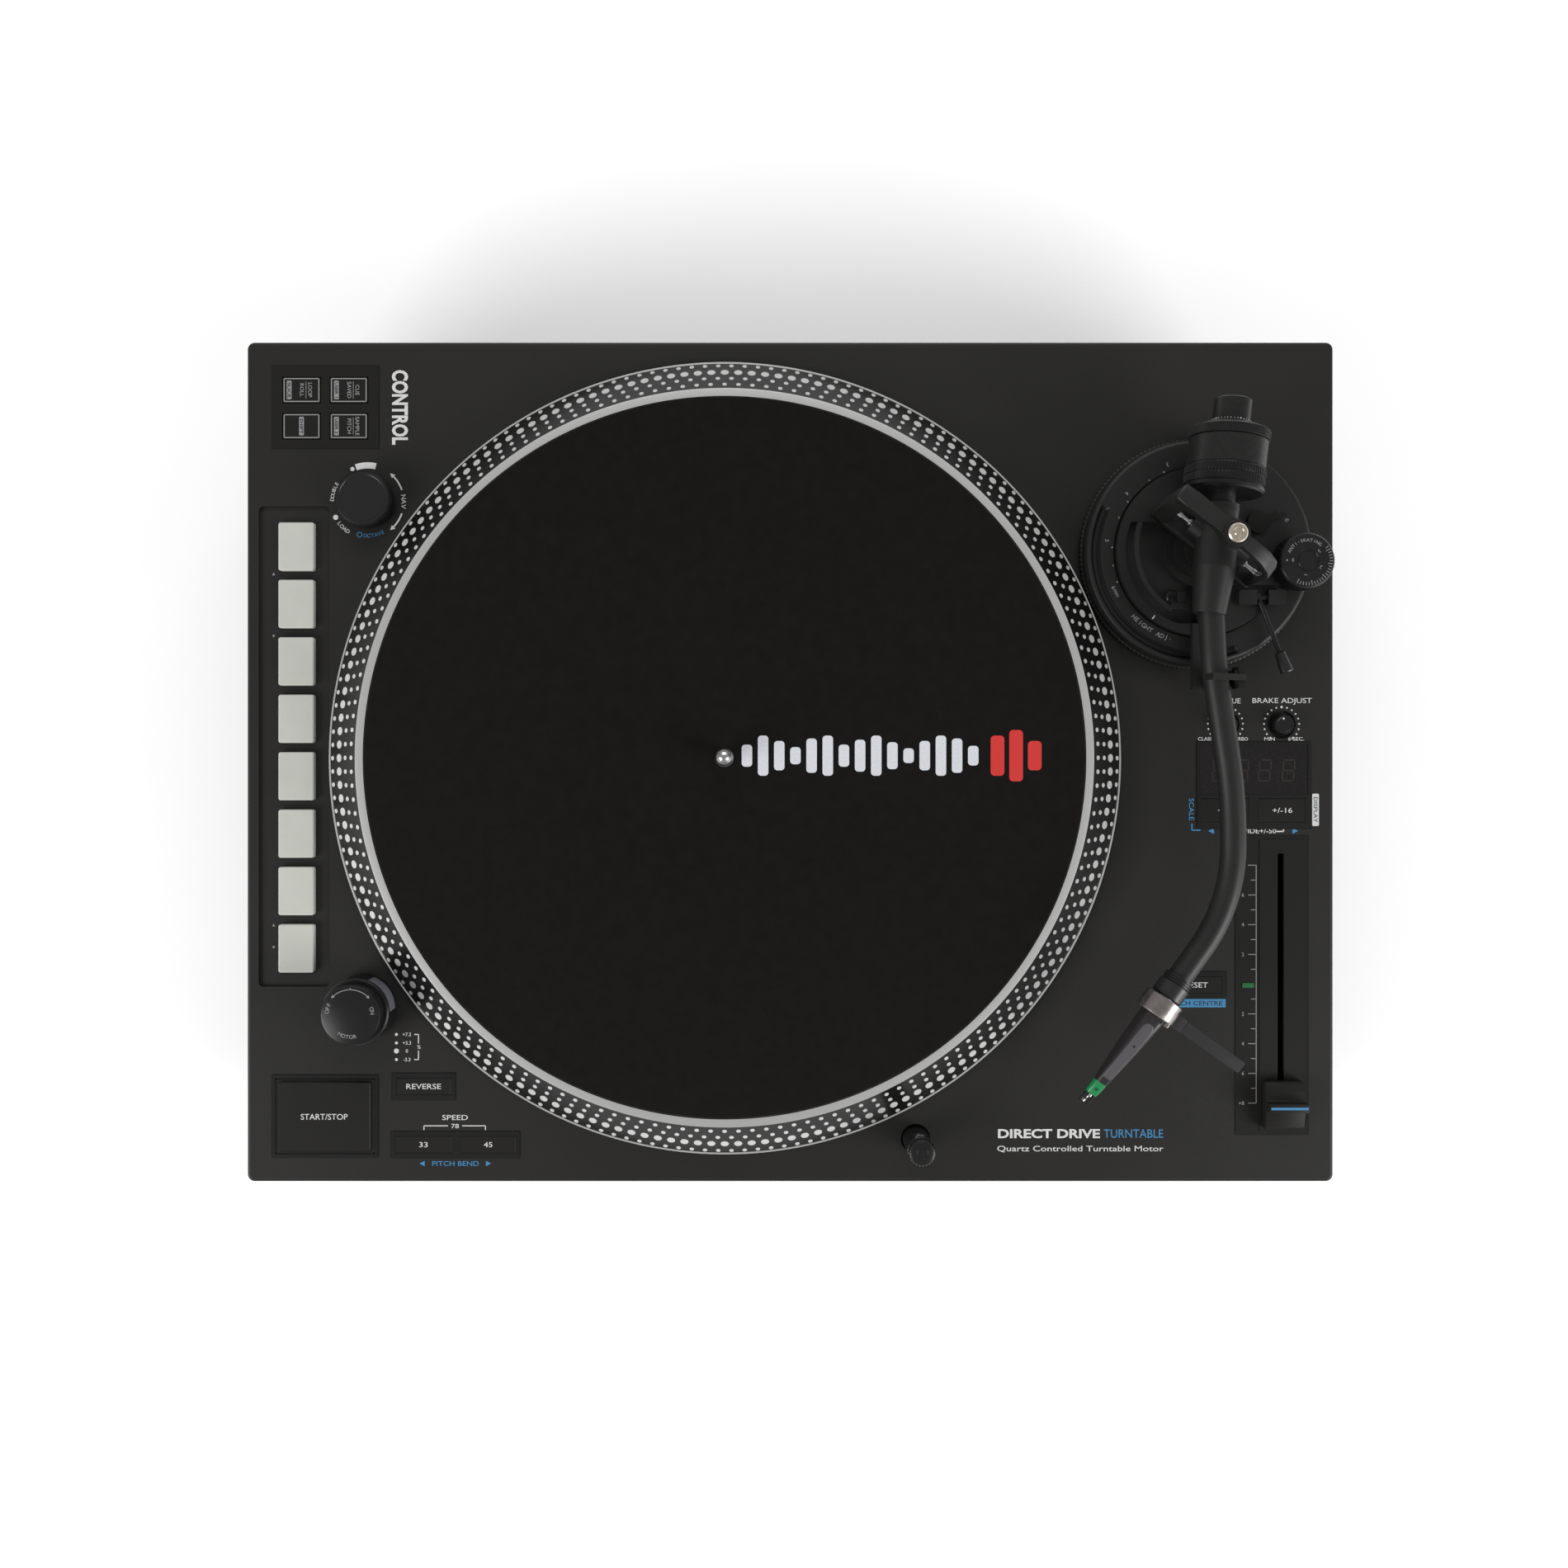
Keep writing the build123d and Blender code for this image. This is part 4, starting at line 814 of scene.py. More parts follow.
def build_mat():
    """The felt slipmat with its printed bars."""
    edge = mm(sizes().mat_edge)
    low, high, r = 15.5, 18.5, 147.4
    bm = bmesh.new()
    profile = [
        (3.9, low), (r - 0.6, low), (r, low + 0.6), (r, high - edge), (r - edge * 0.35, high - edge * 0.35),
        (r - edge, high), (60.0, high), (4.3, high), (3.9, high - 0.4),
    ]
    lathe(bm, profile, at(AXIS_X, AXIS_Y), sizes().steps)
    mat = show("felt_mat", bm, "black_felt", "slipmat", "felt_black", ["slipmat"])
    bars = Print(high)
    first, pitch, wide, base = -18.3, 6.6, 4.3, 2.3
    for k, tall in enumerate((9, 16.4, 12, 7, 14, 16.4, 9, 13, 16.4, 11, 6, 12, 16.4, 14, 8)):
        x = first + pitch * k
        bars.shape(rounded(x - wide / 2, x + wide / 2, base - tall / 2, base + tall / 2, 1.4))
    white = bars.show("mat_bars_white", "mat_white", "slipmat", "felt_black")
    bars = Print(high)
    for k, tall in enumerate((16.4, 21.0, 12.0)):
        x = 84.0 + 7.6 * k
        bars.shape(rounded(x - 2.8, x + 2.8, base - tall / 2, base + tall / 2, 1.6))
    red = bars.show("mat_bars_red", "mat_red", "slipmat", "felt_black")


# ---------------------------------------------------------------- knobs, lamp and strobe
def knob(name, node_name, profile, finish_name, slot, count=0, steps=96, depth=None):
    """A turned knob that replaces its CAD node, with ribs on the points tagged 1."""
    rule = ribs(count, depth or mm(sizes().rib_deep)) if count else None
    turned(name, profile, at(*centre(node_name)), finish_name, node_name, slot, [node_name],
           steps, rule)


def build_knobs():
    """Browse knob, motor switch and the two trimmers, with their markings."""
    h = top("encoder_knob")
    knob("browse_knob", "encoder_knob", [
        (0, -12), (3, -12), (3, 0.5), (11.0, 0.5), (11.5, 0.9), (11.5, 1.6), (11.6, 1.7, 1),
        (11.6, h - 1.3, 1), (11.5, h - 1.2), (11.4, h - 0.7), (10.8, h), (9.9, h), (9.6, h - 0.25),
        (0, h - 0.25),
    ], "spun_black", "knob_black", 60, 240)
    h = top("motor_knob")
    knob("motor_switch", "motor_knob", [
        (0, -12), (3, -12), (3, h - 6.6), (11.8, h - 6.6), (12.2, h - 6.2), (12.2, h - 0.7),
        (12.0, h - 0.3), (11.5, h), (0, h),
    ], "knob_black", "knob_black")
    x, y = centre("motor_knob")
    marks = Print(h)
    marks.arc_text("OFF", x, y, 9.6, 163, 1.7)
    marks.arc_text("ON", x, y, 9.0, 11, 1.7)
    marks.arc_text("MOTOR", x, y, 8.9, 262, 1.6, inward=True, pitch=1.0)
    marks.arc(x, y, 10.3, 48, 131, 0.28)
    for angle, lean in ((45, -48), (134, 227)):
        marks.arrow(x + 10.3 * cos(radians(angle)), y + 10.3 * sin(radians(angle)), lean, 1.3)
    marks.arrow(x, y + 10.6, 90, 0.9)
    marks.show("motor_switch_marks", "grey_ink", "motor_knob", "knob_black")
    for name in ("torque_knob", "brake_knob"):
        h = top(name)
        knob(name + "_cap", name, [
            (0, -12), (2.0, -12), (2.0, -1.6), (4.0, -1.6), (4.3, -1.4, 1), (4.3, h - 0.5, 1),
            (3.9, h), (3.2, h), (2.9, h - 0.2), (0, h - 0.2),
        ], "knob_black", "button_black", 18, 108, 0.25)
        x, y = centre(name)
        marks = Print(h - 0.2)
        marks.dot(x - 0.4, y + 2.4, 0.42)
        marks.show(name + "_dot", "white_ink", name, "button_black")


def build_strobe():
    """The strobe turret and its window."""
    dress(["strobe_tower"], "knob_black")
    dress(["strobe_lens"], "strobe_window")


LAMP_FACE = 4.5


def lamp_rule(r, z, tag, angle):
    """Ribs round the lamp's cap, and a flat on its rear side for the lens."""
    if tag == 2:
        off = abs(angle - pi / 2)
        if off < pi / 4:
            return min(r, LAMP_FACE / cos(off)), z
        return r, z
    return ribs(24, mm(sizes().rib_deep))(r, z, tag, angle)


def build_lamp():
    """The pop-up target lamp: ribbed cap, tube and little lens."""
    h = top("target_lamp")
    x, y = centre("target_lamp")
    bm = bmesh.new()
    lathe(bm, [
        (0, -22), (5.5, -22), (5.5, h - 11.5), (5.5, h - 11.4, 2), (5.5, h - 5.9, 2), (5.5, h - 5.8),
        (5.5, h - 5.2), (5.1, h - 4.9), (5.1, h - 4.5), (5.5, h - 4.3, 1), (5.5, h - 0.9, 1),
        (5.1, h - 0.4), (4.4, h), (2.4, h), (2.1, h - 0.3), (0, h - 0.3),
    ], at(x, y), 96, lamp_rule)
    show("target_lamp_tube", bm, "knob_black", "target_lamp", "knob_black", ["target_lamp"])
    bm = bmesh.new()
    ahead = at(x, y + LAMP_FACE, h - 8.6) @ Matrix.Rotation(radians(-90), 4, "X")
    lathe(bm, [(0, -0.4), (2.2, -0.4), (2.2, 0.4), (1.9, 0.55), (1.6, 0.35), (0, 0.5)], ahead, 32)
    show("target_lamp_lens", bm, "chrome", "target_lamp", "knob_black")


# ---------------------------------------------------------------- buttons and pads
# Push buttons: node, words, their width and their capitals' height.
BUTTON_LABELS = (
    ("start_stop_button", "START/STOP", 19.7, 2.5),
    ("reverse_button", "REVERSE", 14.6, 2.3),
    ("speed_33_button", "33", 3.6, 2.2),
    ("speed_45_button", "45", 3.6, 2.2),
    ("reset_button", "RESET", 9.8, 2.3),
    ("scale_8_button", "+/-8", 6.6, 2.2),
    ("scale_16_button", "+/-16", 8.3, 2.2),
)
# Mode buttons: upper and lower word, and the word on the tab.
MODE_WORDS = (("LOOP", "ROLL", "SLICE"), ("CUE", "SAVED", "USER 1"),
              ("", "", "SHIFT"), ("SAMPLE", "PITCH", "USER 2"))


def build_buttons():
    """Push buttons with their labels."""
    for name, words, wide, cap in BUTTON_LABELS:
        dress([name], "button_black")
        x, y = centre(name)
        marks = Print(top(name))
        marks.text(words, x, y, wide, cap)
        marks.show(name + "_label", "white_ink", name, "button_black")
    for k, (upper, lower, tab) in enumerate(MODE_WORDS, 1):
        name = f"mode_button_{k}"
        dress([name], "button_black")
        x, y = centre(name)
        marks = Print(top(name))
        marks.frame(x - 7.3, x + 7.3, y - 4.8, y + 4.8, 0.42)
        across = -5.2 if upper else 0.0
        marks.shape(rounded(x + across - 1.0, x + across + 1.0, y - 3.9, y + 3.9, 0.3))
        if upper:
            marks.text(upper, x + 3.6, y, cap=1.7, turn=-90)
            marks.text(lower, x + 0.2, y, cap=1.7, turn=-90)
            marks.bar(x + 1.9, y - 3.6, x + 1.9, y + 3.6, 0.2)
        marks.show(name + "_label", "grey_ink", name, "button_black")
        marks = Print(top(name) + mm(sizes().ink))
        marks.text(tab, x + across, y, 6.4, 1.3, -90, bold=0.02)
        marks.show(name + "_tab", "dark_ink", name, "button_black")


def build_pads():
    """The eight frosted trigger pads."""
    dress([f"pad_{k}" for k in range(1, 9)], "pad_rubber")


# ---------------------------------------------------------------- deck legends
# Outer sides of the frames and plates let into the deck: left, right, front, back.
FRAME_SIDES = (
    (-218.1, -173.7, -166.4, -132.0), (-167.6, -141.2, -142.1, -131.2),
    (-167.9, -114.0, -166.6, -155.8), (158.2, 183.4, -99.3, -88.5),
    (-218.1, -173.4, 132.1, 166.6), (171.3, 219.1, -27.9, 8.4), (187.5, 218.0, -156.7, -31.2),
)


def build_legends():
    """Everything printed on the deck, and painted shade in the gaps round the frames and buttons."""
    white = Print(0.0)
    white.text("CONTROL", -164.4, 149.3, 31.4, 6.4, -90, bold=0.035)
    for x, words, wide in ((183.3, "TORQUE", 12.8), (207.2, "BRAKE ADJUST", 25.0)):
        white.text(words, x, 25.5, wide, 2.2)
    for x, words, wide in ((175.8, "CLASSIC", 8.0), (189.4, "TURBO", 6.8), (201.9, "MIN", 4.4),
                           (213.1, "6 SEC.", 6.6)):
        white.text(words, x, 9.7, wide, 1.5)
    for name in ("torque_knob", "brake_knob"):
        x, y = centre(name)
        for k in range(17):
            a = radians(90 - 140 + 280 * k / 16)
            size = 0.52 if k in (0, 8, 16) else 0.38
            white.dot(x + 7.4 * cos(a), y + 7.4 * sin(a), size)
    speed_marks(white)
    browse_marks(white)
    white.shape(rounded(219.9, 222.7, -27.0, -13.4, 0.5))
    white.text("WIDE+/-50", 196.9, -29.1, 15.6, 2.0)
    white.path([(204.9, -29.3), (207.8, -29.3), (207.8, -27.9)], 0.5)
    white.text("DIRECT DRIVE", 109.0, -156.6, 43.0, 3.7, bold=0.03)
    white.text("Quartz Controlled Turntable Motor", 122.2, -163.1, 70.0, 2.4)
    white.show("deck_legend_white", "white_ink", "chassis", "deck_black")
    blue = Print(0.0)
    blue.text("PITCH BEND", -141.0, -169.2, 19.6, 2.1)
    blue.arrow(-154.8, -169.2, 180, 2.2)
    blue.arrow(-127.4, -169.2, 0, 2.2)
    blue.text("SCALE", 169.0, -20.0, 9.2, 2.1, -90)
    blue.path([(169.2, -26.0), (169.2, -28.8), (172.8, -28.8)], 0.5)
    blue.arrow(177.6, -29.1, 180, 2.4)
    blue.arrow(212.4, -29.1, 0, 2.4)
    blue.text("TURNTABLE", 144.6, -156.6, 25.0, 3.7)
    x, y = centre("encoder_knob")
    blue.arc_text("OCTAVE", x, y, 14.3, 281, 1.6, inward=True, pitch=0.95)
    blue.arc(x - 3.4, y - 13.9, 1.0, 0, 355, 0.35)
    blue.shape(rounded(158.2, 183.4, -103.4, -99.9, 0.2))
    blue.show("deck_legend_blue", "blue_ink", "chassis", "deck_black")
    dark = Print(mm(sizes().ink))
    dark.text("PITCH CENTRE", 170.8, -101.65, 22.4, 2.0)
    dark.text("DISPLAY", 221.3, -20.2, 10.6, 1.7, -90)
    dark.show("deck_legend_dark", "dark_ink", "chassis", "deck_black")
    # Painted shade: near-black lines round the frames and the push buttons stand for the shade in the gaps.
    gap_shade_lines = Print(0.0)
    for x0, x1, y0, y1 in FRAME_SIDES:
        gap_shade_lines.frame(x0 - 0.25, x1 + 0.25, y0 - 0.25, y1 + 0.25, 0.5)
    gap_shade_lines.show("frame_gap_shade", "gap_shade_black", "chassis", "deck_black")
    gap_shade_lines = Print(0.3)
    for name, *_ in BUTTON_LABELS:
        low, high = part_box(name)
        gap_shade_lines.frame(mm(low.x) - 0.3, mm(high.x) + 0.3, mm(low.y) - 0.3, mm(high.y) + 0.3, 0.55)
    gap_shade_lines.show("button_gap_shade", "gap_shade_black", "chassis", "frame_black")
    small = Print(-1.2)
    for y in (103.2, 77.2, -69.0, -78.2):
        way = 90 if y in (103.2, -69.0) else 270
        small.arrow(-218.0, y - 24.0 if y > 0 else y, way, 1.2)
    small.show("pad_tray_marks", "grey_ink", "chassis", "deck_black")


def speed_marks(white):
    """The strobe key beside the turret and the speed bracket over the buttons."""
    for y, words, size in ((-114.8, "+7.2", 0.62), (-118.4, "+3.3", 0.62), (-121.8, "0", 1.05),
                           (-125.4, "-3.3", 0.62)):
        white.dot(-165.9, y, size)
        white.text(words, -161.5, y, cap=1.5)
    white.path([(-158.4, -114.8), (-156.6, -114.8), (-156.6, -118.6)], 0.4)
    white.path([(-156.6, -121.6), (-156.6, -125.4), (-158.4, -125.4)], 0.4)
    white.text("%", -156.4, -120.1, cap=1.6)
    white.text("SPEED", -141.2, -149.8, 10.8, 2.2)
    white.text("78", -141.2, -153.4, 3.2, 1.9)
    white.path([(-154.3, -155.1), (-154.3, -153.3), (-144.2, -153.3)], 0.4)
    white.path([(-138.2, -153.3), (-128.4, -153.3), (-128.4, -155.1)], 0.4)


def browse_marks(white):
    """The ring of markings round the browse knob."""
    x, y = centre("encoder_knob")
    white.arc(x, y, 15.3, 77, 109, 2.6)
    white.dot(x + 15.2 * cos(radians(115)), y + 15.2 * sin(radians(115)), 0.9)
    white.arc_text("DOUBLE", x, y, 15.0, 163, 1.6)
    white.dot(x + 15.0 * cos(radians(206)), y + 15.0 * sin(radians(206)), 1.1)
    white.arc_text("LOAD", x, y, 15.0, 227, 1.7, inward=True, pitch=0.95)
    white.arc_text("NAV", x, y, 15.2, 0, 2.1, pitch=0.95)
    white.arc(x, y, 15.2, 19, 44, 0.65)
    white.arc(x, y, 15.2, -44, -19, 0.65)
    for angle, lean in ((47, 137), (-47, 223)):
        white.arrow(x + 15.2 * cos(radians(angle)), y + 15.2 * sin(radians(angle)), lean, 2.0)


# ---------------------------------------------------------------- display and fader
SEGMENTS = ((0, 4.4, 4.2, 0.55), (0, 0, 4.2, 0.55), (0, -4.4, 4.2, 0.55), (-2.4, 2.2, 0.55, 3.7),
            (2.4, 2.2, 0.55, 3.7), (-2.4, -2.2, 0.55, 3.7), (2.4, -2.2, 0.55, 3.7))


def build_display():
    """The four unlit digits on the display's pane."""
    digits = Print(0.0)
    for x in (180.6, 190.4, 199.9, 209.9):
        for ox, oy, wide, tall in SEGMENTS:
            digits.shape([(x + ox + sx * wide / 2 + oy * 0.1, -3.6 + oy + sy * tall / 2)
                          for sx, sy in ((-1, -1), (1, -1), (1, 1), (-1, 1))])
    digits.show("display_digits", "ghost_digit", "chassis", "window_smoke")


FADER_X = 206.5
SCALE_TOP = -43.5
SCALE_STEP = 12.525


def build_fader():
    """The pitch fader: inlay round the slot, scale, centre lamp and cap."""
    bm = bmesh.new()
    for sides in ((197.6, FADER_X - 1.3, -155.4, -32.6), (FADER_X + 1.3, 216.8, -155.4, -32.6),
                  (FADER_X - 1.3, FADER_X + 1.3, -38.6, -32.6),
                  (FADER_X - 1.3, FADER_X + 1.3, -155.4, -150.0)):
        block(bm, *sides, 0.2, 0.42, at())
    show("fader_inlay", bm, "button_black", "chassis", "panel_black")
    scale = Print(0.2)
    scale.bar(196.2, SCALE_TOP + 0.15, 196.2, SCALE_TOP - 8 * SCALE_STEP - 0.15, 0.3)
    for k in range(17):
        y = SCALE_TOP - k * SCALE_STEP / 2
        if k != 8:
            scale.bar(196.2 - (3.4 if k % 2 == 0 else 2.2), y, 196.2, y, 0.3)
    for k, words in enumerate(("8", "6", "4", "2", "", "2", "4", "6", "+8")):
        if words:
            scale.text(words, 190.6 if k < 8 else 190.0, SCALE_TOP - k * SCALE_STEP, cap=1.6)
    scale.show("fader_scale", "grey_ink", "chassis", "panel_black")
    bm = bmesh.new()
    prism(bm, rounded(190.3, 195.2, -95.1, -93.1, 0.3), 0.1, 0.5, at(), 0.12)
    show("fader_centre_lamp", bm, "lamp_green", "chassis", "panel_black")
    x, y = centre("pitch_fader")
    sideways = Matrix(((0, 0, 1, x), (1, 0, 0, y), (0, 1, 0, DECK), (0, 0, 0, 1)))
    bm = bmesh.new()
    outline = [
        (-10.0, 1.0), (10.0, 1.0), (10.0, 4.0), (9.0, 5.0), (6.0, 5.8), (2.6, 6.4), (1.9, 7.2),
        (1.9, 10.5), (-1.9, 10.5), (-1.9, 7.2), (-2.6, 6.4), (-6.0, 5.8), (-9.0, 5.0), (-10.0, 4.0),
    ]
    prism(bm, outline, -8.1, 8.1, sideways)
    bmesh.ops.bevel(bm, geom=bm.edges, offset=0.28, segments=2, affect="EDGES", profile=0.5)
    block(bm, x - 0.9, x + 0.9, y - 3.0, y + 3.0, -12.0, 1.5, at())
    show("fader_cap", bm, "button_black", "pitch_fader", "button_black", ["pitch_fader"])
    line = Print(10.5)
    line.bar(x - 7.7, y, x + 7.7, y, 1.0)
    line.show("fader_cap_line", "blue_ink", "pitch_fader", "button_black")


# ---------------------------------------------------------------- feet and sockets
def build_feet():
    """The four ribbed rubber feet on their studs."""
    profile = [
        (0, 0), (26.6, 0), (27.6, 0.4), (28, 1.2), (28, 7.0), (29.0, 7.6), (31, 9.4, 1), (31, 21.6, 1),
        (30.4, 22.8), (29.0, 24.0), (4.0, 24.0), (4.0, 50.0), (0, 50.0),
    ]
    for name in ("foot_front_left", "foot_front_right", "foot_back_left", "foot_back_right"):
        bm = bmesh.new()
        lathe(bm, profile, Matrix.Translation((*centre(name), 0)), 180, ribs(45, 0.7))
        show(name + "_rubber", bm, "foot_rubber", name, "foot_rubber", [name])


def rearward(x, y, z):
    """A place on the back whose z axis points out of the body, from absolute heights."""
    return Matrix.Translation((x, y, z)) @ Matrix.Rotation(radians(-90), 4, "X")


def build_sockets():
    """The socket plate in the bay at the back, and what is mounted on it."""
    low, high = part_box("rear_sockets")
    x0, x1, z0, z1 = mm(low.x), mm(high.x), mm(low.z), mm(high.z)
    wall = mm(low.y)
    face = wall + 1.6
    level = (z0 + z1) / 2
    pieces = []

    def part(name, bm, finish_name):
        pieces.append(show(name, bm, finish_name, "chassis", "shell_black", ["rear_sockets"]))

    bm = bmesh.new()
    block(bm, x0, x1, wall, face, z0, z1, bevel=0.3)
    part("socket_plate", bm, "socket_plastic")
    bm = bmesh.new()
    for x in (-20.0, 0.0):
        lathe(bm, [(1.6, 1.6), (4.15, 1.6), (4.15, 7.2), (3.9, 7.6), (3.3, 7.6), (3.1, 7.2), (3.1, 2.4),
                   (1.6, 2.4)], rearward(x, face, level), 40)
    part("signal_jack_shells", bm, "gold")
    bm = bmesh.new()
    for x in (-20.0, 0.0):
        lathe(bm, [(0, 0), (6.0, 0), (6.0, 1.2), (5.6, 1.6), (1.6, 1.7), (1.6, 0.6), (0, 0.6)],
              rearward(x, face, level), 40)
    part("signal_jack_rings", bm, "socket_plastic")
    bm = bmesh.new()
    lathe(bm, [(0, 0), (2.0, 0), (2.0, 4.0), (4.6, 4.0), (5.0, 4.4, 1), (5.0, 7.6, 1), (4.6, 8.0),
               (2.0, 8.0), (2.0, 9.0), (0, 9.0)], rearward(22.0, face, level), 96, ribs(24, 0.4))
    part("ground_post", bm, "steel")
    bm = bmesh.new()
    for sides in ((-56, -53, -6.5, 6.5), (-45, -42, -6.5, 6.5), (-53, -45, -6.5, -3.5),
                  (-53, -45, 3.5, 6.5)):
        block(bm, sides[0], sides[1], face, face + 5, level + sides[2], level + sides[3])
    block(bm, -51.5, -46.5, face, face + 4, level - 1.6, level + 1.6, bevel=0.2)
    part("data_port", bm, "steel")
    bm = bmesh.new()
    for sides in ((-142, -139.5, -11, 11), (-114.5, -112, -11, 11), (-139.5, -114.5, -11, -8.5),
                  (-139.5, -114.5, 8.5, 11)):
        block(bm, sides[0], sides[1], face, face + 12, level + sides[2], level + sides[3])
    part("mains_inlet", bm, "socket_plastic")
    bm = bmesh.new()
    for x in (-133.0, -127.0, -121.0):
        block(bm, x - 1, x + 1, face, face + 9, level - 2.5, level + 2.5, bevel=0.4)
    part("mains_pins", bm, "steel")


# ---------------------------------------------------------------- tonearm base
GROOVE = (153.0, 292.0)


def ring_rule(r, z, tag, angle):
    """Ribs on the ring's foot, and the finger groove that runs part of the way round."""
    if tag == 1 and (angle / (2 * pi) * 150) % 1.0 > 0.5:
        return r - 0.35, z
    if tag >= 2:
        a = degrees(angle)
        inside = min(a - GROOVE[0], GROOVE[1] - a)
        share = max(0.0, min(1.0, inside / 3.0))
        share = share * share * (3 - 2 * share)
        return r, z - share * (2.0 if tag == 2 else 1.3)
    return r, z


def build_height_ring():
    """The ring that sets the arm's height, with its numbers."""
    bm = bmesh.new()
    t = top("height_ring")
    lathe(bm, [
        (35.1, 0.4), (47.6, 0.4), (48.2, 0.8, 1), (48.2, 2.9, 1), (47.4, 3.4), (47.0, t - 1.6),
        (46.3, t - 0.4), (45.6, t), (44.9, t), (44.3, t, 3), (43.6, t, 2), (42.4, t, 2), (41.7, t, 3),
        (41.1, t), (35.7, t), (35.1, t - 0.5),
    ], at(*PIVOT), 600, ring_rule)
    show("height_ring_turned", bm, "base_satin", "height_ring", "arm_black", ["height_ring"])
    marks = Print(t)
    for words, angle in (("0", 20), ("3", 110), ("4", 141), ("5", 173), ("6mm", 205)):
        marks.arc_text(words, *PIVOT, 38.6, angle, 1.7, inward=True, pitch=1.0)
        a = radians(angle + (4 if words != "6mm" else -5))
        marks.dot(PIVOT[0] + 36.3 * cos(a), PIVOT[1] + 36.3 * sin(a), 0.35)
    for angle in (125, 157, 189):
        a = radians(angle)
        marks.dot(PIVOT[0] + 36.3 * cos(a), PIVOT[1] + 36.3 * sin(a), 0.3)
    marks.arc_text("HEIGHT ADJ.", *PIVOT, 38.2, 238, 1.9, inward=True, pitch=0.93)
    marks.show("height_ring_marks", "grey_ink", "height_ring", "arm_black")


def build_arm_base():
    """The rising base: its finish, the screw, the index, the lock knob and the clip."""
    dress(["arm_base"], "base_satin")
    dress(["height_lock_knob", "arm_clip"], "button_black")
    dress(["cue_lifter"], "arm_satin")
    index = Print(BASE_TOP)
    a = radians(234)
    index.bar(PIVOT[0] + 33.0 * cos(a), PIVOT[1] + 33.0 * sin(a),
              PIVOT[0] + 34.8 * cos(a), PIVOT[1] + 34.8 * sin(a), 0.4)
    index.show("height_index", "white_ink", "arm_base", "arm_black")
    bm = bmesh.new()
    lathe(bm, [(0, 0), (2.7, 0), (2.7, 0.7), (2.2, 1.2), (0, 1.3)], at(*BASE_SCREW), 40)
    for turn in (20, 110):
        block(bm, -1.6, 1.6, -0.3, 0.3, 1.2, 1.36, at(*BASE_SCREW, turn))
    show("base_screw", bm, "collar_black", "arm_base", "arm_black")


def build_side_force_dial():
    """The side-force dial with its scale."""
    h = top("anti_skate_dial")
    knob("side_force_dial", "anti_skate_dial", [
        (0, 10), (2, 10), (2, h - 9.7), (11.0, h - 9.7), (11.4, h - 9.3, 1), (11.4, h - 1.0, 1),
        (10.9, h - 0.3), (10.5, h), (4.6, h), (4.3, h - 0.3), (3.9, h - 0.3), (3.6, h), (0, h),
    ], "knob_black", "knob_black", 72, 288, 0.2)
    x, y = centre("anti_skate_dial")
    marks = Print(h)
    marks.arc_text("ANTI-SKATING", x, y, 8.2, 103, 1.35, pitch=0.98)
    for words, angle in (("0", 180), ("1", 262), ("2", 332), ("3", 38)):
        a = radians(angle)
        marks.text(words, x + 6.0 * cos(a), y + 6.0 * sin(a), cap=1.4, turn=angle - 180)
    marks.dot(x - 8.4, y, 0.35)
    for k in range(22):
        a = radians(-115 + 7.1 * k)
        inner = 8.3 if k % 5 == 0 else 8.9
        marks.bar(x + inner * cos(a), y + inner * sin(a), x + 10.2 * cos(a), y + 10.2 * sin(a), 0.25)
    marks.show("side_force_dial_marks", "grey_ink", "anti_skate_dial", "knob_black")


def build_cue_lever():
    """The cue lever: cross shaft, thin rod and tapered grip."""
    start = Vector(CUE_START) + Vector((0, 0, DECK))
    end = Vector(CUE_END) + Vector((0, 0, DECK))
    along = (end - start).normalized()
    far = (end - start).length
    bm = bmesh.new()
    rod(bm, [start - Vector((6.8, 0, 0)), start + Vector((6.8, 0, 0))], [1.0, 1.0])
    rod(bm, [start - along * 1.4, start + along * 1.0, start + along * (far - 7)], [1.5, 1.0, 0.9])
    show("cue_rod", bm, "knob_black", "cue_lever", "lift_metal", ["cue_lever"])
    bm = bmesh.new()
    rod(bm, [start + along * (far + s) for s in (-8.2, -7.6, -3.0, 0.4, 0.95)],
        [1.2, 2.1, 2.4, 2.7, 2.4], 28)
    show("cue_grip", bm, "collar_black", "cue_lever", "lift_metal", ["cue_lever"])


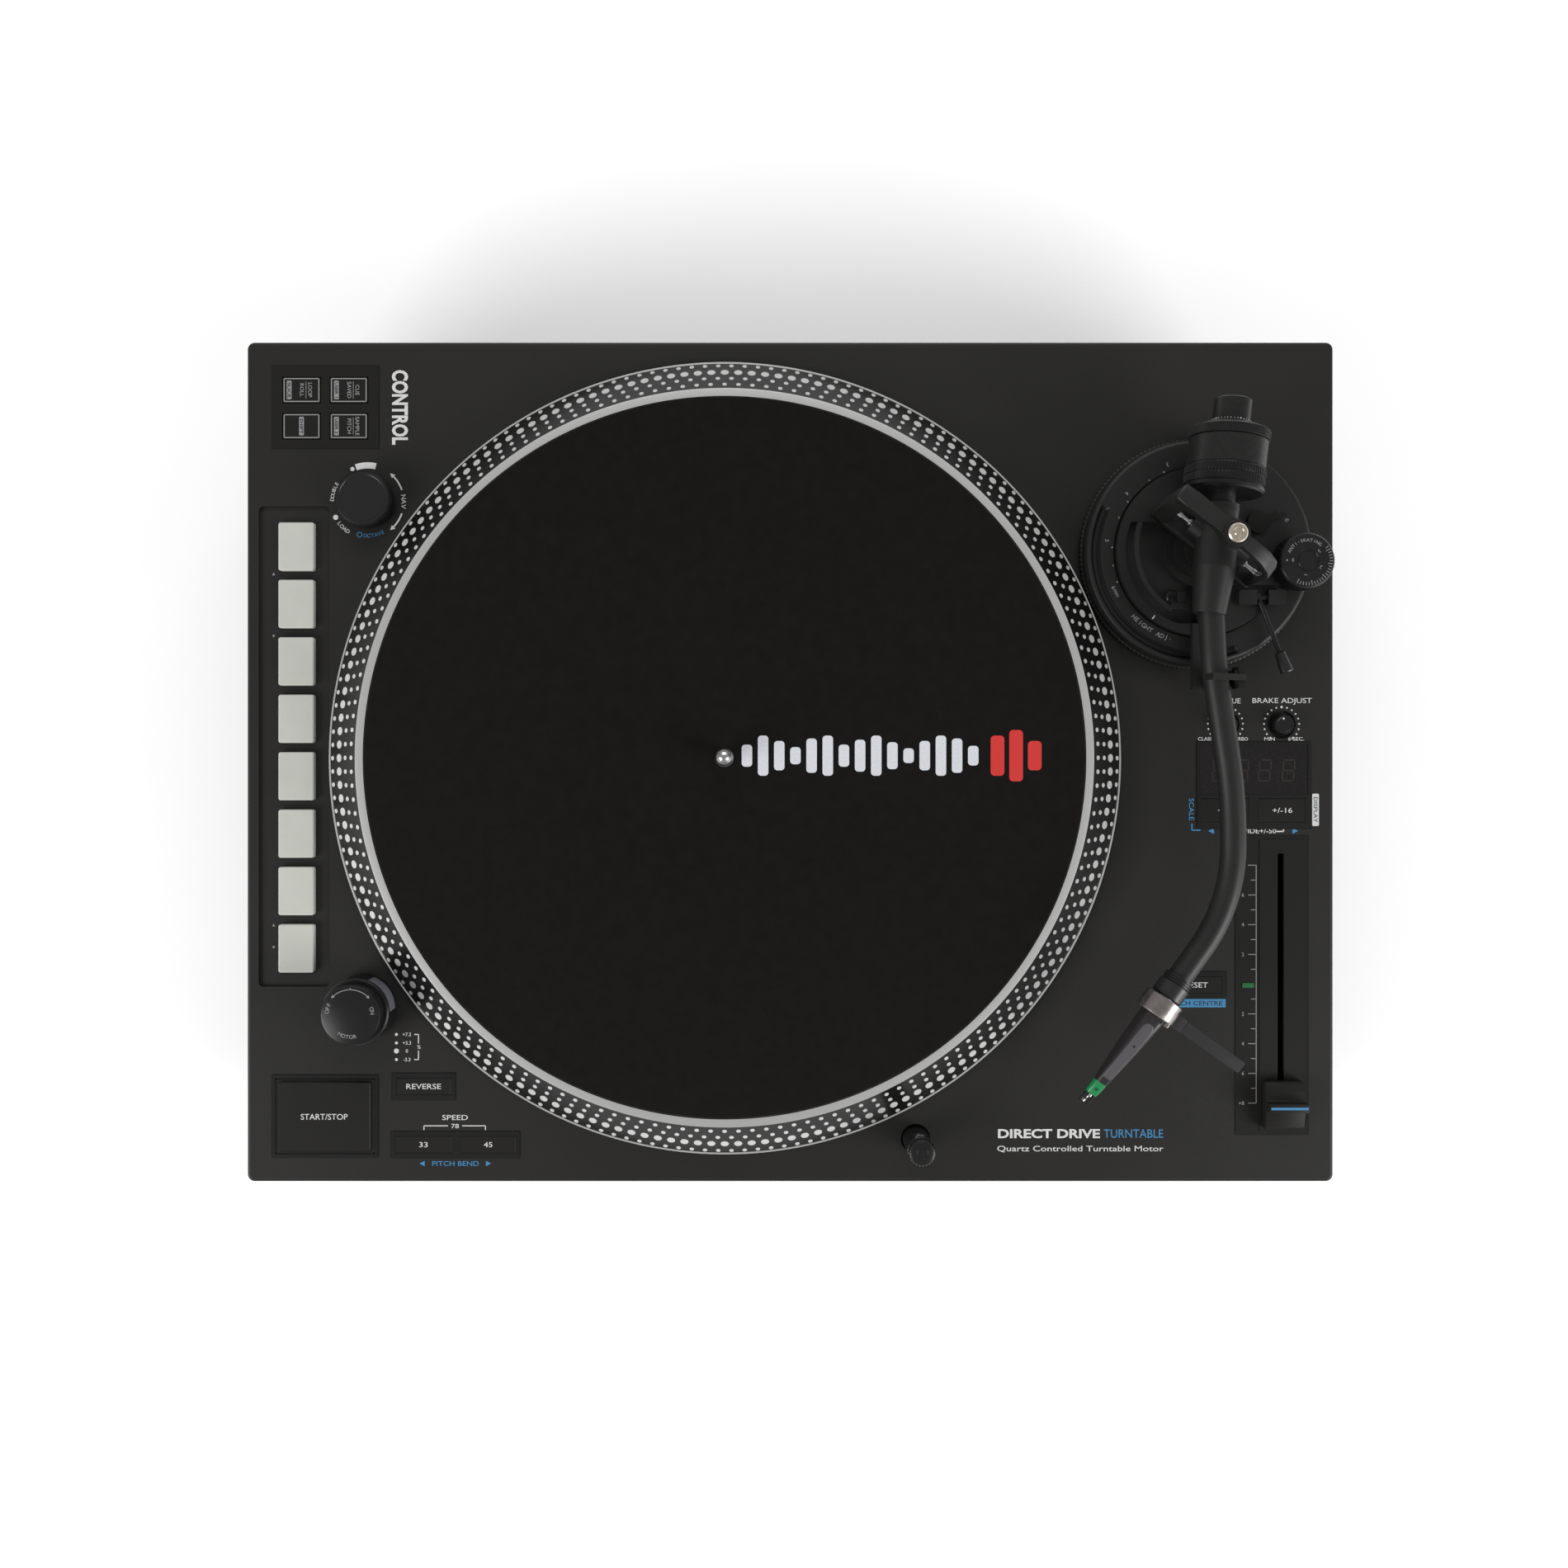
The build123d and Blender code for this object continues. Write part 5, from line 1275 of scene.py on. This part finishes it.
# ---------------------------------------------------------------- tonearm
def build_gimbal():
    """The bearing bridge: broad arm, curved short arm, feet, screw and pivot pins."""
    place = gimbal()
    bm = bmesh.new()
    outline = [(-27.0, -2.6), (-26.0, -3.6), (-21.0, -3.6), (-8.0, -2.5), (-4.4, -3.4), (0, -5.0),
               (4.4, -3.4), (4.4, 3.4), (0, 5.0), (-4.4, 3.4), (-8.0, 3.1), (-21.0, 3.6),
               (-26.0, 3.6), (-27.0, 2.6)]
    prism(bm, outline, 48.5, 54.0, place, 0.9)
    path = ((3.0, 51.6, 2.6, 4.4), (9.0, 51.4, 2.8, 4.0), (15.0, 50.2, 3.1, 3.4), (19.0, 47.0, 3.2, 3.1),
            (20.9, 42.4, 3.1, 2.9), (21.0, 34.0, 3.0, 2.8), (21.0, 18.0, 3.0, 2.8))
    sections = []
    for k, (x, h, half, thick) in enumerate(path):
        x0, h0 = path[max(0, k - 1)][:2]
        x1, h1 = path[min(len(path) - 1, k + 1)][:2]
        lean = atan2(h1 - h0, x1 - x0)
        ring = []
        for side, up in squircle(2 * half, -thick / 2, thick / 2, 9.0):
            ring.append(place @ Vector((x - up * sin(lean), side, h + up * cos(lean))))
        sections.append(ring)
    loft(bm, sections)
    block(bm, -27.0, -20.4, -3.6, 3.6, 17.0, 49.0, place, 0.8)
    block(bm, -27.0, 22.5, -3.6, 3.6, 17.0, 20.6, place, 0.6)
    lathe(bm, [(0, -9.0), (5, -9.0), (5, 16.0), (9, 17.0), (9, 19.0), (0, 19.0)], place, 48)
    show("bearing_bridge", bm, "arm_satin", "gimbal_yoke", "arm_black", ["gimbal_yoke"])
    turned("bearing_collar", [(0, 54.0), (5.2, 54.0), (5.2, 54.4), (4.6, 54.6), (0, 54.6)], place,
           "knob_black", "gimbal_yoke", "arm_black", ["gimbal_yoke"], steps=48)
    turned("bearing_screw", [(0, 54.4), (3.75, 54.4), (3.75, 55.5), (3.3, 56.0), (2.1, 56.0), (1.8,
           55.6), (1.5, 55.6),
               (1.2, 55.9), (0, 55.9)], place,
           "brass", "gimbal_yoke", "arm_black", ["gimbal_yoke"], steps=48)
    bm = bmesh.new()
    for side in (-1, 1):
        turn = Matrix.Translation((0, 0, ARM_HIGH)) @ Matrix.Rotation(radians(90 * side), 4, "Y")
        end = 19.4 if side > 0 else 20.4
        lathe(bm, [(0, 13.2), (1.45, 13.2), (1.5, 13.4), (1.5, 14.1), (0.85, 14.4), (0.85, 17.6),
                   (1.15, 17.8), (1.15, end), (0, end)], place @ turn, 32)
    show("pivot_pins", bm, "steel", "gimbal_yoke", "arm_black", ["gimbal_yoke"])


def build_tube():
    """The tonearm's finish, its neck ring and the ribbed socket at its end."""
    dress(["tonearm_tube"], "arm_satin")
    turned("arm_neck_ring", [(6.6, 12.9), (7.15, 13.1), (7.15, 13.7), (6.6, 13.9)], rear_line(),
           "arm_satin", "tonearm", "arm_black", steps=48)
    bm = bmesh.new()
    for k in range(3):
        s = -2.6 + 1.05 * k
        lathe(bm, [(4.9, s), (5.7, s), (6.0, s + 0.2), (6.0, s + 0.55), (5.7, s + 0.75), (4.9, s + 0.75)],
              head_line(), 48)
    show("arm_socket_ribs", bm, "collar_black", "tonearm", "arm_black")


def build_weight():
    """The counterweight with its ribbed dial, drum, collar and stub."""
    place = rear_line()
    turned("weight_dial_ring", [
        (5.05, 19.6), (13.4, 19.6), (14.9, 20.0), (15.6, 20.8), (15.7, 21.8), (15.3, 22.4), (15.3, 22.6),
        (15.8, 22.8, 1), (15.8, 25.8, 1), (15.4, 25.95), (15.4, 26.15), (15.8, 26.3, 1), (15.8, 29.3, 1),
        (15.3, 29.5), (15.2, 29.8), (5.05, 29.8),
    ], place,
           "knob_black", "weight_dial", "arm_black", ["weight_dial"], steps=288, rule=ribs(72, 0.32))
    turned("weight_drum", [(5.05, 30.0), (15.1, 30.0), (15.3, 30.2), (15.3, 40.8), (15.1, 41.0), (14.6,
           41.05),
               (14.6, 41.2), (5.05, 41.2)], place,
           "weight_satin", "counterweight", "weight_black", ["counterweight"], steps=96)
    turned("weight_collar", [(5.1, 41.25), (15.4, 41.25), (15.8, 41.5, 1), (15.8, 44.8, 1), (15.3, 45.2),
           (8.3, 48.3),
               (8.0, 48.4), (5.1, 48.4)], place,
           "weight_satin", "counterweight", "weight_black", ["counterweight"], steps=360, rule=ribs(120,
           0.22))
    turned("weight_stub", [(0, 52.6), (5.1, 52.6), (5.1, 48.5), (7.35, 48.5), (7.35, 57.2), (6.9, 57.6),
           (5.6, 57.6),
               (5.2, 57.2), (0, 57.2)], place,
           "weight_satin", "counterweight", "weight_black", ["counterweight"], steps=64)
    bm = bmesh.new()
    for k in range(40):
        spot = Matrix.Rotation(2 * pi * k / 40, 4, "Z") @ Matrix.Translation((8.0, 0, 48.45))
        bmesh.ops.create_icosphere(bm, subdivisions=1, radius=0.28, matrix=place @ spot)
    show("weight_stub_beads", bm, "chrome", "counterweight", "weight_black", ["counterweight"])


def skin(place, stations, power=4.0):
    """Rounded rectangles along a line: each (distance, width, low, high)."""
    return [[place @ Vector((x, y, s)) for x, y in squircle(wide, low, high, power)]
            for s, wide, low, high in stations]


def build_headshell():
    """The clamp collar, one-piece cartridge, stylus and finger lift."""
    place = head_line()
    turned("clamp_collar", [(3.05, 0.6), (6.0, 0.6), (6.3, 0.9), (6.3, 6.6), (6.0, 7.0), (3.05, 7.0)], place,
           "collar_black", "lock_collar", "arm_black", ["lock_collar"], steps=72)
    bm = bmesh.new()
    lathe(bm, [(0, 0.5), (3.0, 0.5), (3.0, 7.4), (7.6, 7.4), (8.0, 7.8), (8.0, 15.0), (7.6, 15.4),
               (0, 15.4)], place, 72)
    block(bm, 3.6, 5.6, 5.6, 6.4, 15.0, 17.2, place, 0.2)
    show("headshell_band", bm, "band_metal", "tonearm", "cartridge_black", ["cartridge"])
    bm = bmesh.new()
    loft(bm, skin(place, [(15.3, 8.8, -6.3, 5.3), (17.0, 9.0, -6.6, 5.3), (24.0, 8.1, -7.8, 4.4),
                          (32.0, 7.2, -8.9, 3.0), (41.0, 6.1, -8.8, 0.6), (49.0, 5.2, -8.1, -2.2),
                          (50.0, 5.1, -8.0, -2.6)]))
    show("cartridge_shell", bm, "cartridge_body", "tonearm", "cartridge_black", ["cartridge"], 50)
    bm = bmesh.new()
    tops = ((19.6, 2.2, 5.0), (20.2, 3.6, 4.95), (21.2, 4.5, 4.85), (24.0, 4.9, 4.55), (32.0, 4.6, 3.15),
            (41.0, 4.1, 0.75), (46.0, 3.8, -1.0), (47.2, 3.4, -1.45))
    loft(bm, skin(place, [(s, wide, high - 0.9, high) for s, wide, high in tops], 5.0))
    show("cartridge_inlay_panel", bm, "cartridge_inlay", "tonearm", "cartridge_black", ["cartridge"], 50)
    bm = bmesh.new()
    loft(bm, skin(place, [(50.0, 5.0, -8.0, -2.7), (52.0, 5.0, -8.1, -3.1), (54.6, 4.8, -8.3, -4.3),
                          (56.0, 4.5, -8.4, -5.0)]))
    show("stylus_carrier", bm, "stylus_green", "tonearm", "stylus_green", ["stylus"], 50)
    bm = bmesh.new()
    for side in (-1, 1):
        loft(bm, [[place @ Vector((side * (1.55 + 0.06 * (s - 55.6)) + x, y, s))
                   for x, y in squircle(1.1, -8.3, -6.0 - 0.14 * (s - 55.6), 4.0, 12)]
                  for s in (55.6, 58.0, 60.8)])
    show("stylus_fork", bm, "cartridge_body", "tonearm", "stylus_green", ["stylus"])
    bm = bmesh.new()
    block(bm, -0.7, 0.7, -7.6, -6.0, 55.8, 57.6, place, 0.25)
    rod(bm, [place @ Vector((0, -7.0, 57.4)), place @ Vector((0, -8.6, 60.2))], [0.42, 0.3], 10)
    rod(bm, [place @ Vector((0, -8.4, 60.2)), place @ Vector((0, -10.3, 60.2))], [0.3, 0.08], 10)
    show("stylus_needle", bm, "chrome", "tonearm", "stylus_green", ["stylus"])
    bm = bmesh.new()
    lathe(bm, [(0.35, 0), (0.62, 0), (0.62, 0.12), (0.35, 0.12)],
          place @ Matrix.Translation((0, -3.62, 53.2)) @ Matrix.Rotation(radians(-68), 4, "X"), 24)
    lathe(bm, [(0, 0), (0.42, 0), (0.42, 0.12), (0, 0.12)],
          place @ Matrix.Translation((0, 3.48, 30.5)) @ Matrix.Rotation(radians(-80), 4, "X"), 24)
    show("cartridge_dots", bm, "collar_black", "tonearm", "cartridge_black")
    bm = bmesh.new()
    flat = place @ Matrix.Rotation(radians(-90), 4, "X")
    prism(bm, rounded(7.6, 41.0, -15.1, -10.1, 0.9), -0.6, 0.6, flat, 0.3)
    prism(bm, rounded(7.4, 12.4, -15.4, -9.8, 0.9), -1.0, 1.0, flat, 0.3)
    show("finger_lift_blade", bm, "finger_lift_coat", "tonearm", "lift_metal", ["finger_lift"])


# ---------------------------------------------------------------- studio
# Lights in metres: how far to the side, place along and above, size, and the point they face.
KEY_AWAY = 1.5
KEY_PLACE = (-0.8, 0.85)
KEY_SIZE = (1.0, 1.0)
BACK_PLACE = (0.0, 1.5, 1.1)
BACK_SIZE = (1.6, 0.7)
AIM = (0, 0, 0.1)


def area_light(name, place, aim, size, power):
    """A soft square light aimed at a point, in metres."""
    light = bpy.data.lights.new(name, "AREA")
    light.shape = "RECTANGLE"
    light.size, light.size_y = size
    light.energy = power
    lamp = bpy.data.objects.new(name, light)
    lamp.location = place
    lamp.rotation_mode = "QUATERNION"
    lamp.rotation_quaternion = (Vector(aim) - Vector(place)).to_track_quat("-Z", "Y")
    bpy.context.scene.collection.objects.link(lamp)


def build_studio():
    """Camera straight above the deck, pale floor and soft lights."""
    studio = bpy.context.scene.turntable_studio
    scene = bpy.context.scene
    camera = bpy.data.cameras.new("camera")
    camera.lens = studio.lens
    camera.sensor_width = 36.0
    camera.shift_x = studio.shift_x
    camera.shift_y = studio.shift_y
    camera.clip_start, camera.clip_end = 0.05, 20.0
    eye = bpy.data.objects.new("camera", camera)
    eye.location = (studio.eye_x, studio.eye_y, DECK * MM + studio.eye_high)
    scene.collection.objects.link(eye)
    scene.camera = eye
    bm = bmesh.new()
    bmesh.ops.create_grid(bm, x_segments=8, y_segments=8, size=4.0)
    mesh = bpy.data.meshes.new("floor")
    bm.to_mesh(mesh)
    bm.free()
    floor = bpy.data.objects.new("floor", mesh)
    scene.collection.objects.link(floor)
    grained("floor_pale", studio.floor, 0.9, 0.003, 0.00002, 0.03, 0.01, 0.1)
    pale = finish("floor_pale")
    glow = pale.node_tree.nodes["Principled BSDF"]
    glow.inputs["Emission Color"].default_value = (1.0, 1.0, 1.0, 1.0)
    glow.inputs["Emission Strength"].default_value = studio.glow
    mesh.materials.append(pale)
    world = bpy.data.worlds.new("studio")
    world.use_nodes = True
    back = world.node_tree.nodes["Background"]
    back.inputs["Color"].default_value = (1.0, 1.0, 1.0, 1.0)
    back.inputs["Strength"].default_value = studio.sky
    scene.world = world
    scene.view_settings.view_transform = "Standard"
    for name, side in (("key_left", -KEY_AWAY), ("key_right", KEY_AWAY)):
        area_light(name, (side, *KEY_PLACE), AIM, KEY_SIZE, studio.key)
    area_light("back", BACK_PLACE, AIM, BACK_SIZE, studio.ceiling)


# ---------------------------------------------------------------- operators
def run(*steps):
    """Runs building steps and reports success to the operator."""
    for step in steps:
        step()
    return {"FINISHED"}


class TURNTABLE_OT_finishes(bpy.types.Operator):
    """Make every finish of the record player"""

    bl_idname = "turntable.finishes"
    bl_label = "Finishes"

    def execute(self, context):
        return run(make_finishes)


class TURNTABLE_OT_body(bpy.types.Operator):
    """Finish the deck, the body and the parts inside it"""

    bl_idname = "turntable.body"
    bl_label = "Body"

    def execute(self, context):
        return run(build_body)


class TURNTABLE_OT_platter(bpy.types.Operator):
    """Make the platter with its speed dots"""

    bl_idname = "turntable.platter"
    bl_label = "Platter"

    def execute(self, context):
        return run(build_platter, build_dots)


class TURNTABLE_OT_mat(bpy.types.Operator):
    """Make the felt slipmat"""

    bl_idname = "turntable.mat"
    bl_label = "Slipmat"

    def execute(self, context):
        return run(build_mat)


class TURNTABLE_OT_knobs(bpy.types.Operator):
    """Make the browse knob, the motor switch and the trimmers"""

    bl_idname = "turntable.knobs"
    bl_label = "Knobs"

    def execute(self, context):
        return run(build_knobs)


class TURNTABLE_OT_lights(bpy.types.Operator):
    """Make the strobe turret and the pop-up target lamp"""

    bl_idname = "turntable.lights"
    bl_label = "Strobe and lamp"

    def execute(self, context):
        return run(build_strobe, build_lamp)


class TURNTABLE_OT_buttons(bpy.types.Operator):
    """Finish and label the push buttons and the pads"""

    bl_idname = "turntable.buttons"
    bl_label = "Buttons and pads"

    def execute(self, context):
        return run(build_buttons, build_pads)


class TURNTABLE_OT_legends(bpy.types.Operator):
    """Print the legends on the deck"""

    bl_idname = "turntable.legends"
    bl_label = "Legends"

    def execute(self, context):
        return run(build_legends)


class TURNTABLE_OT_fader(bpy.types.Operator):
    """Make the tempo display and the pitch fader"""

    bl_idname = "turntable.fader"
    bl_label = "Display and fader"

    def execute(self, context):
        return run(build_display, build_fader)


class TURNTABLE_OT_feet(bpy.types.Operator):
    """Make the feet"""

    bl_idname = "turntable.feet"
    bl_label = "Feet"

    def execute(self, context):
        return run(build_feet)


class TURNTABLE_OT_sockets(bpy.types.Operator):
    """Make the sockets at the back"""

    bl_idname = "turntable.sockets"
    bl_label = "Sockets"

    def execute(self, context):
        return run(build_sockets)


class TURNTABLE_OT_arm_base(bpy.types.Operator):
    """Make the tonearm's base with its ring, dial and cue lever"""

    bl_idname = "turntable.arm_base"
    bl_label = "Tonearm base"

    def execute(self, context):
        return run(build_height_ring, build_arm_base, build_side_force_dial, build_cue_lever)


class TURNTABLE_OT_tonearm(bpy.types.Operator):
    """Make the bearing bridge, the tube and the counterweight"""

    bl_idname = "turntable.tonearm"
    bl_label = "Tonearm"

    def execute(self, context):
        return run(build_gimbal, build_tube, build_weight)


class TURNTABLE_OT_headshell(bpy.types.Operator):
    """Make the clamp collar, the cartridge, the stylus and the finger lift"""

    bl_idname = "turntable.headshell"
    bl_label = "Cartridge"

    def execute(self, context):
        return run(build_headshell)


class TURNTABLE_OT_studio(bpy.types.Operator):
    """Make the camera, the floor and the lights"""

    bl_idname = "turntable.studio"
    bl_label = "Studio"

    def execute(self, context):
        return run(build_studio)


STEPS = (
    TURNTABLE_OT_studio,
    TURNTABLE_OT_finishes,
    TURNTABLE_OT_body,
    TURNTABLE_OT_platter,
    TURNTABLE_OT_mat,
    TURNTABLE_OT_knobs,
    TURNTABLE_OT_lights,
    TURNTABLE_OT_buttons,
    TURNTABLE_OT_legends,
    TURNTABLE_OT_fader,
    TURNTABLE_OT_feet,
    TURNTABLE_OT_sockets,
    TURNTABLE_OT_arm_base,
    TURNTABLE_OT_tonearm,
    TURNTABLE_OT_headshell,
)
SETTINGS = {
    "turntable_sizes": TurntableSizes,
    "turntable_colours": TurntableColours,
    "turntable_studio": TurntableStudio,
}


class TURNTABLE_PT_panel(bpy.types.Panel):
    """The record player's settings and building steps"""

    bl_label = "Turntable"
    bl_space_type = "VIEW_3D"
    bl_region_type = "UI"
    bl_category = "Turntable"

    def draw(self, context):
        layout = self.layout
        for group_name, group in SETTINGS.items():
            box = layout.box()
            for key in group.__annotations__:
                box.prop(getattr(context.scene, group_name), key)
        for step in STEPS:
            layout.operator(step.bl_idname)


def register():
    """Registers the classes and hangs the settings on the scene."""
    for group_name, group in SETTINGS.items():
        bpy.utils.register_class(group)
        setattr(bpy.types.Scene, group_name, PointerProperty(type=group))
    for step in STEPS:
        bpy.utils.register_class(step)
    bpy.utils.register_class(TURNTABLE_PT_panel)


def unregister():
    """Takes the classes and settings away again."""
    bpy.utils.unregister_class(TURNTABLE_PT_panel)
    for step in reversed(STEPS):
        bpy.utils.unregister_class(step)
    for group_name, group in SETTINGS.items():
        delattr(bpy.types.Scene, group_name)
        bpy.utils.unregister_class(group)


def main():
    register()
    for step in STEPS:
        operator = getattr(bpy.ops.turntable, step.bl_idname.split(".")[1])
        operator()


if __name__ == "__main__":
    main()
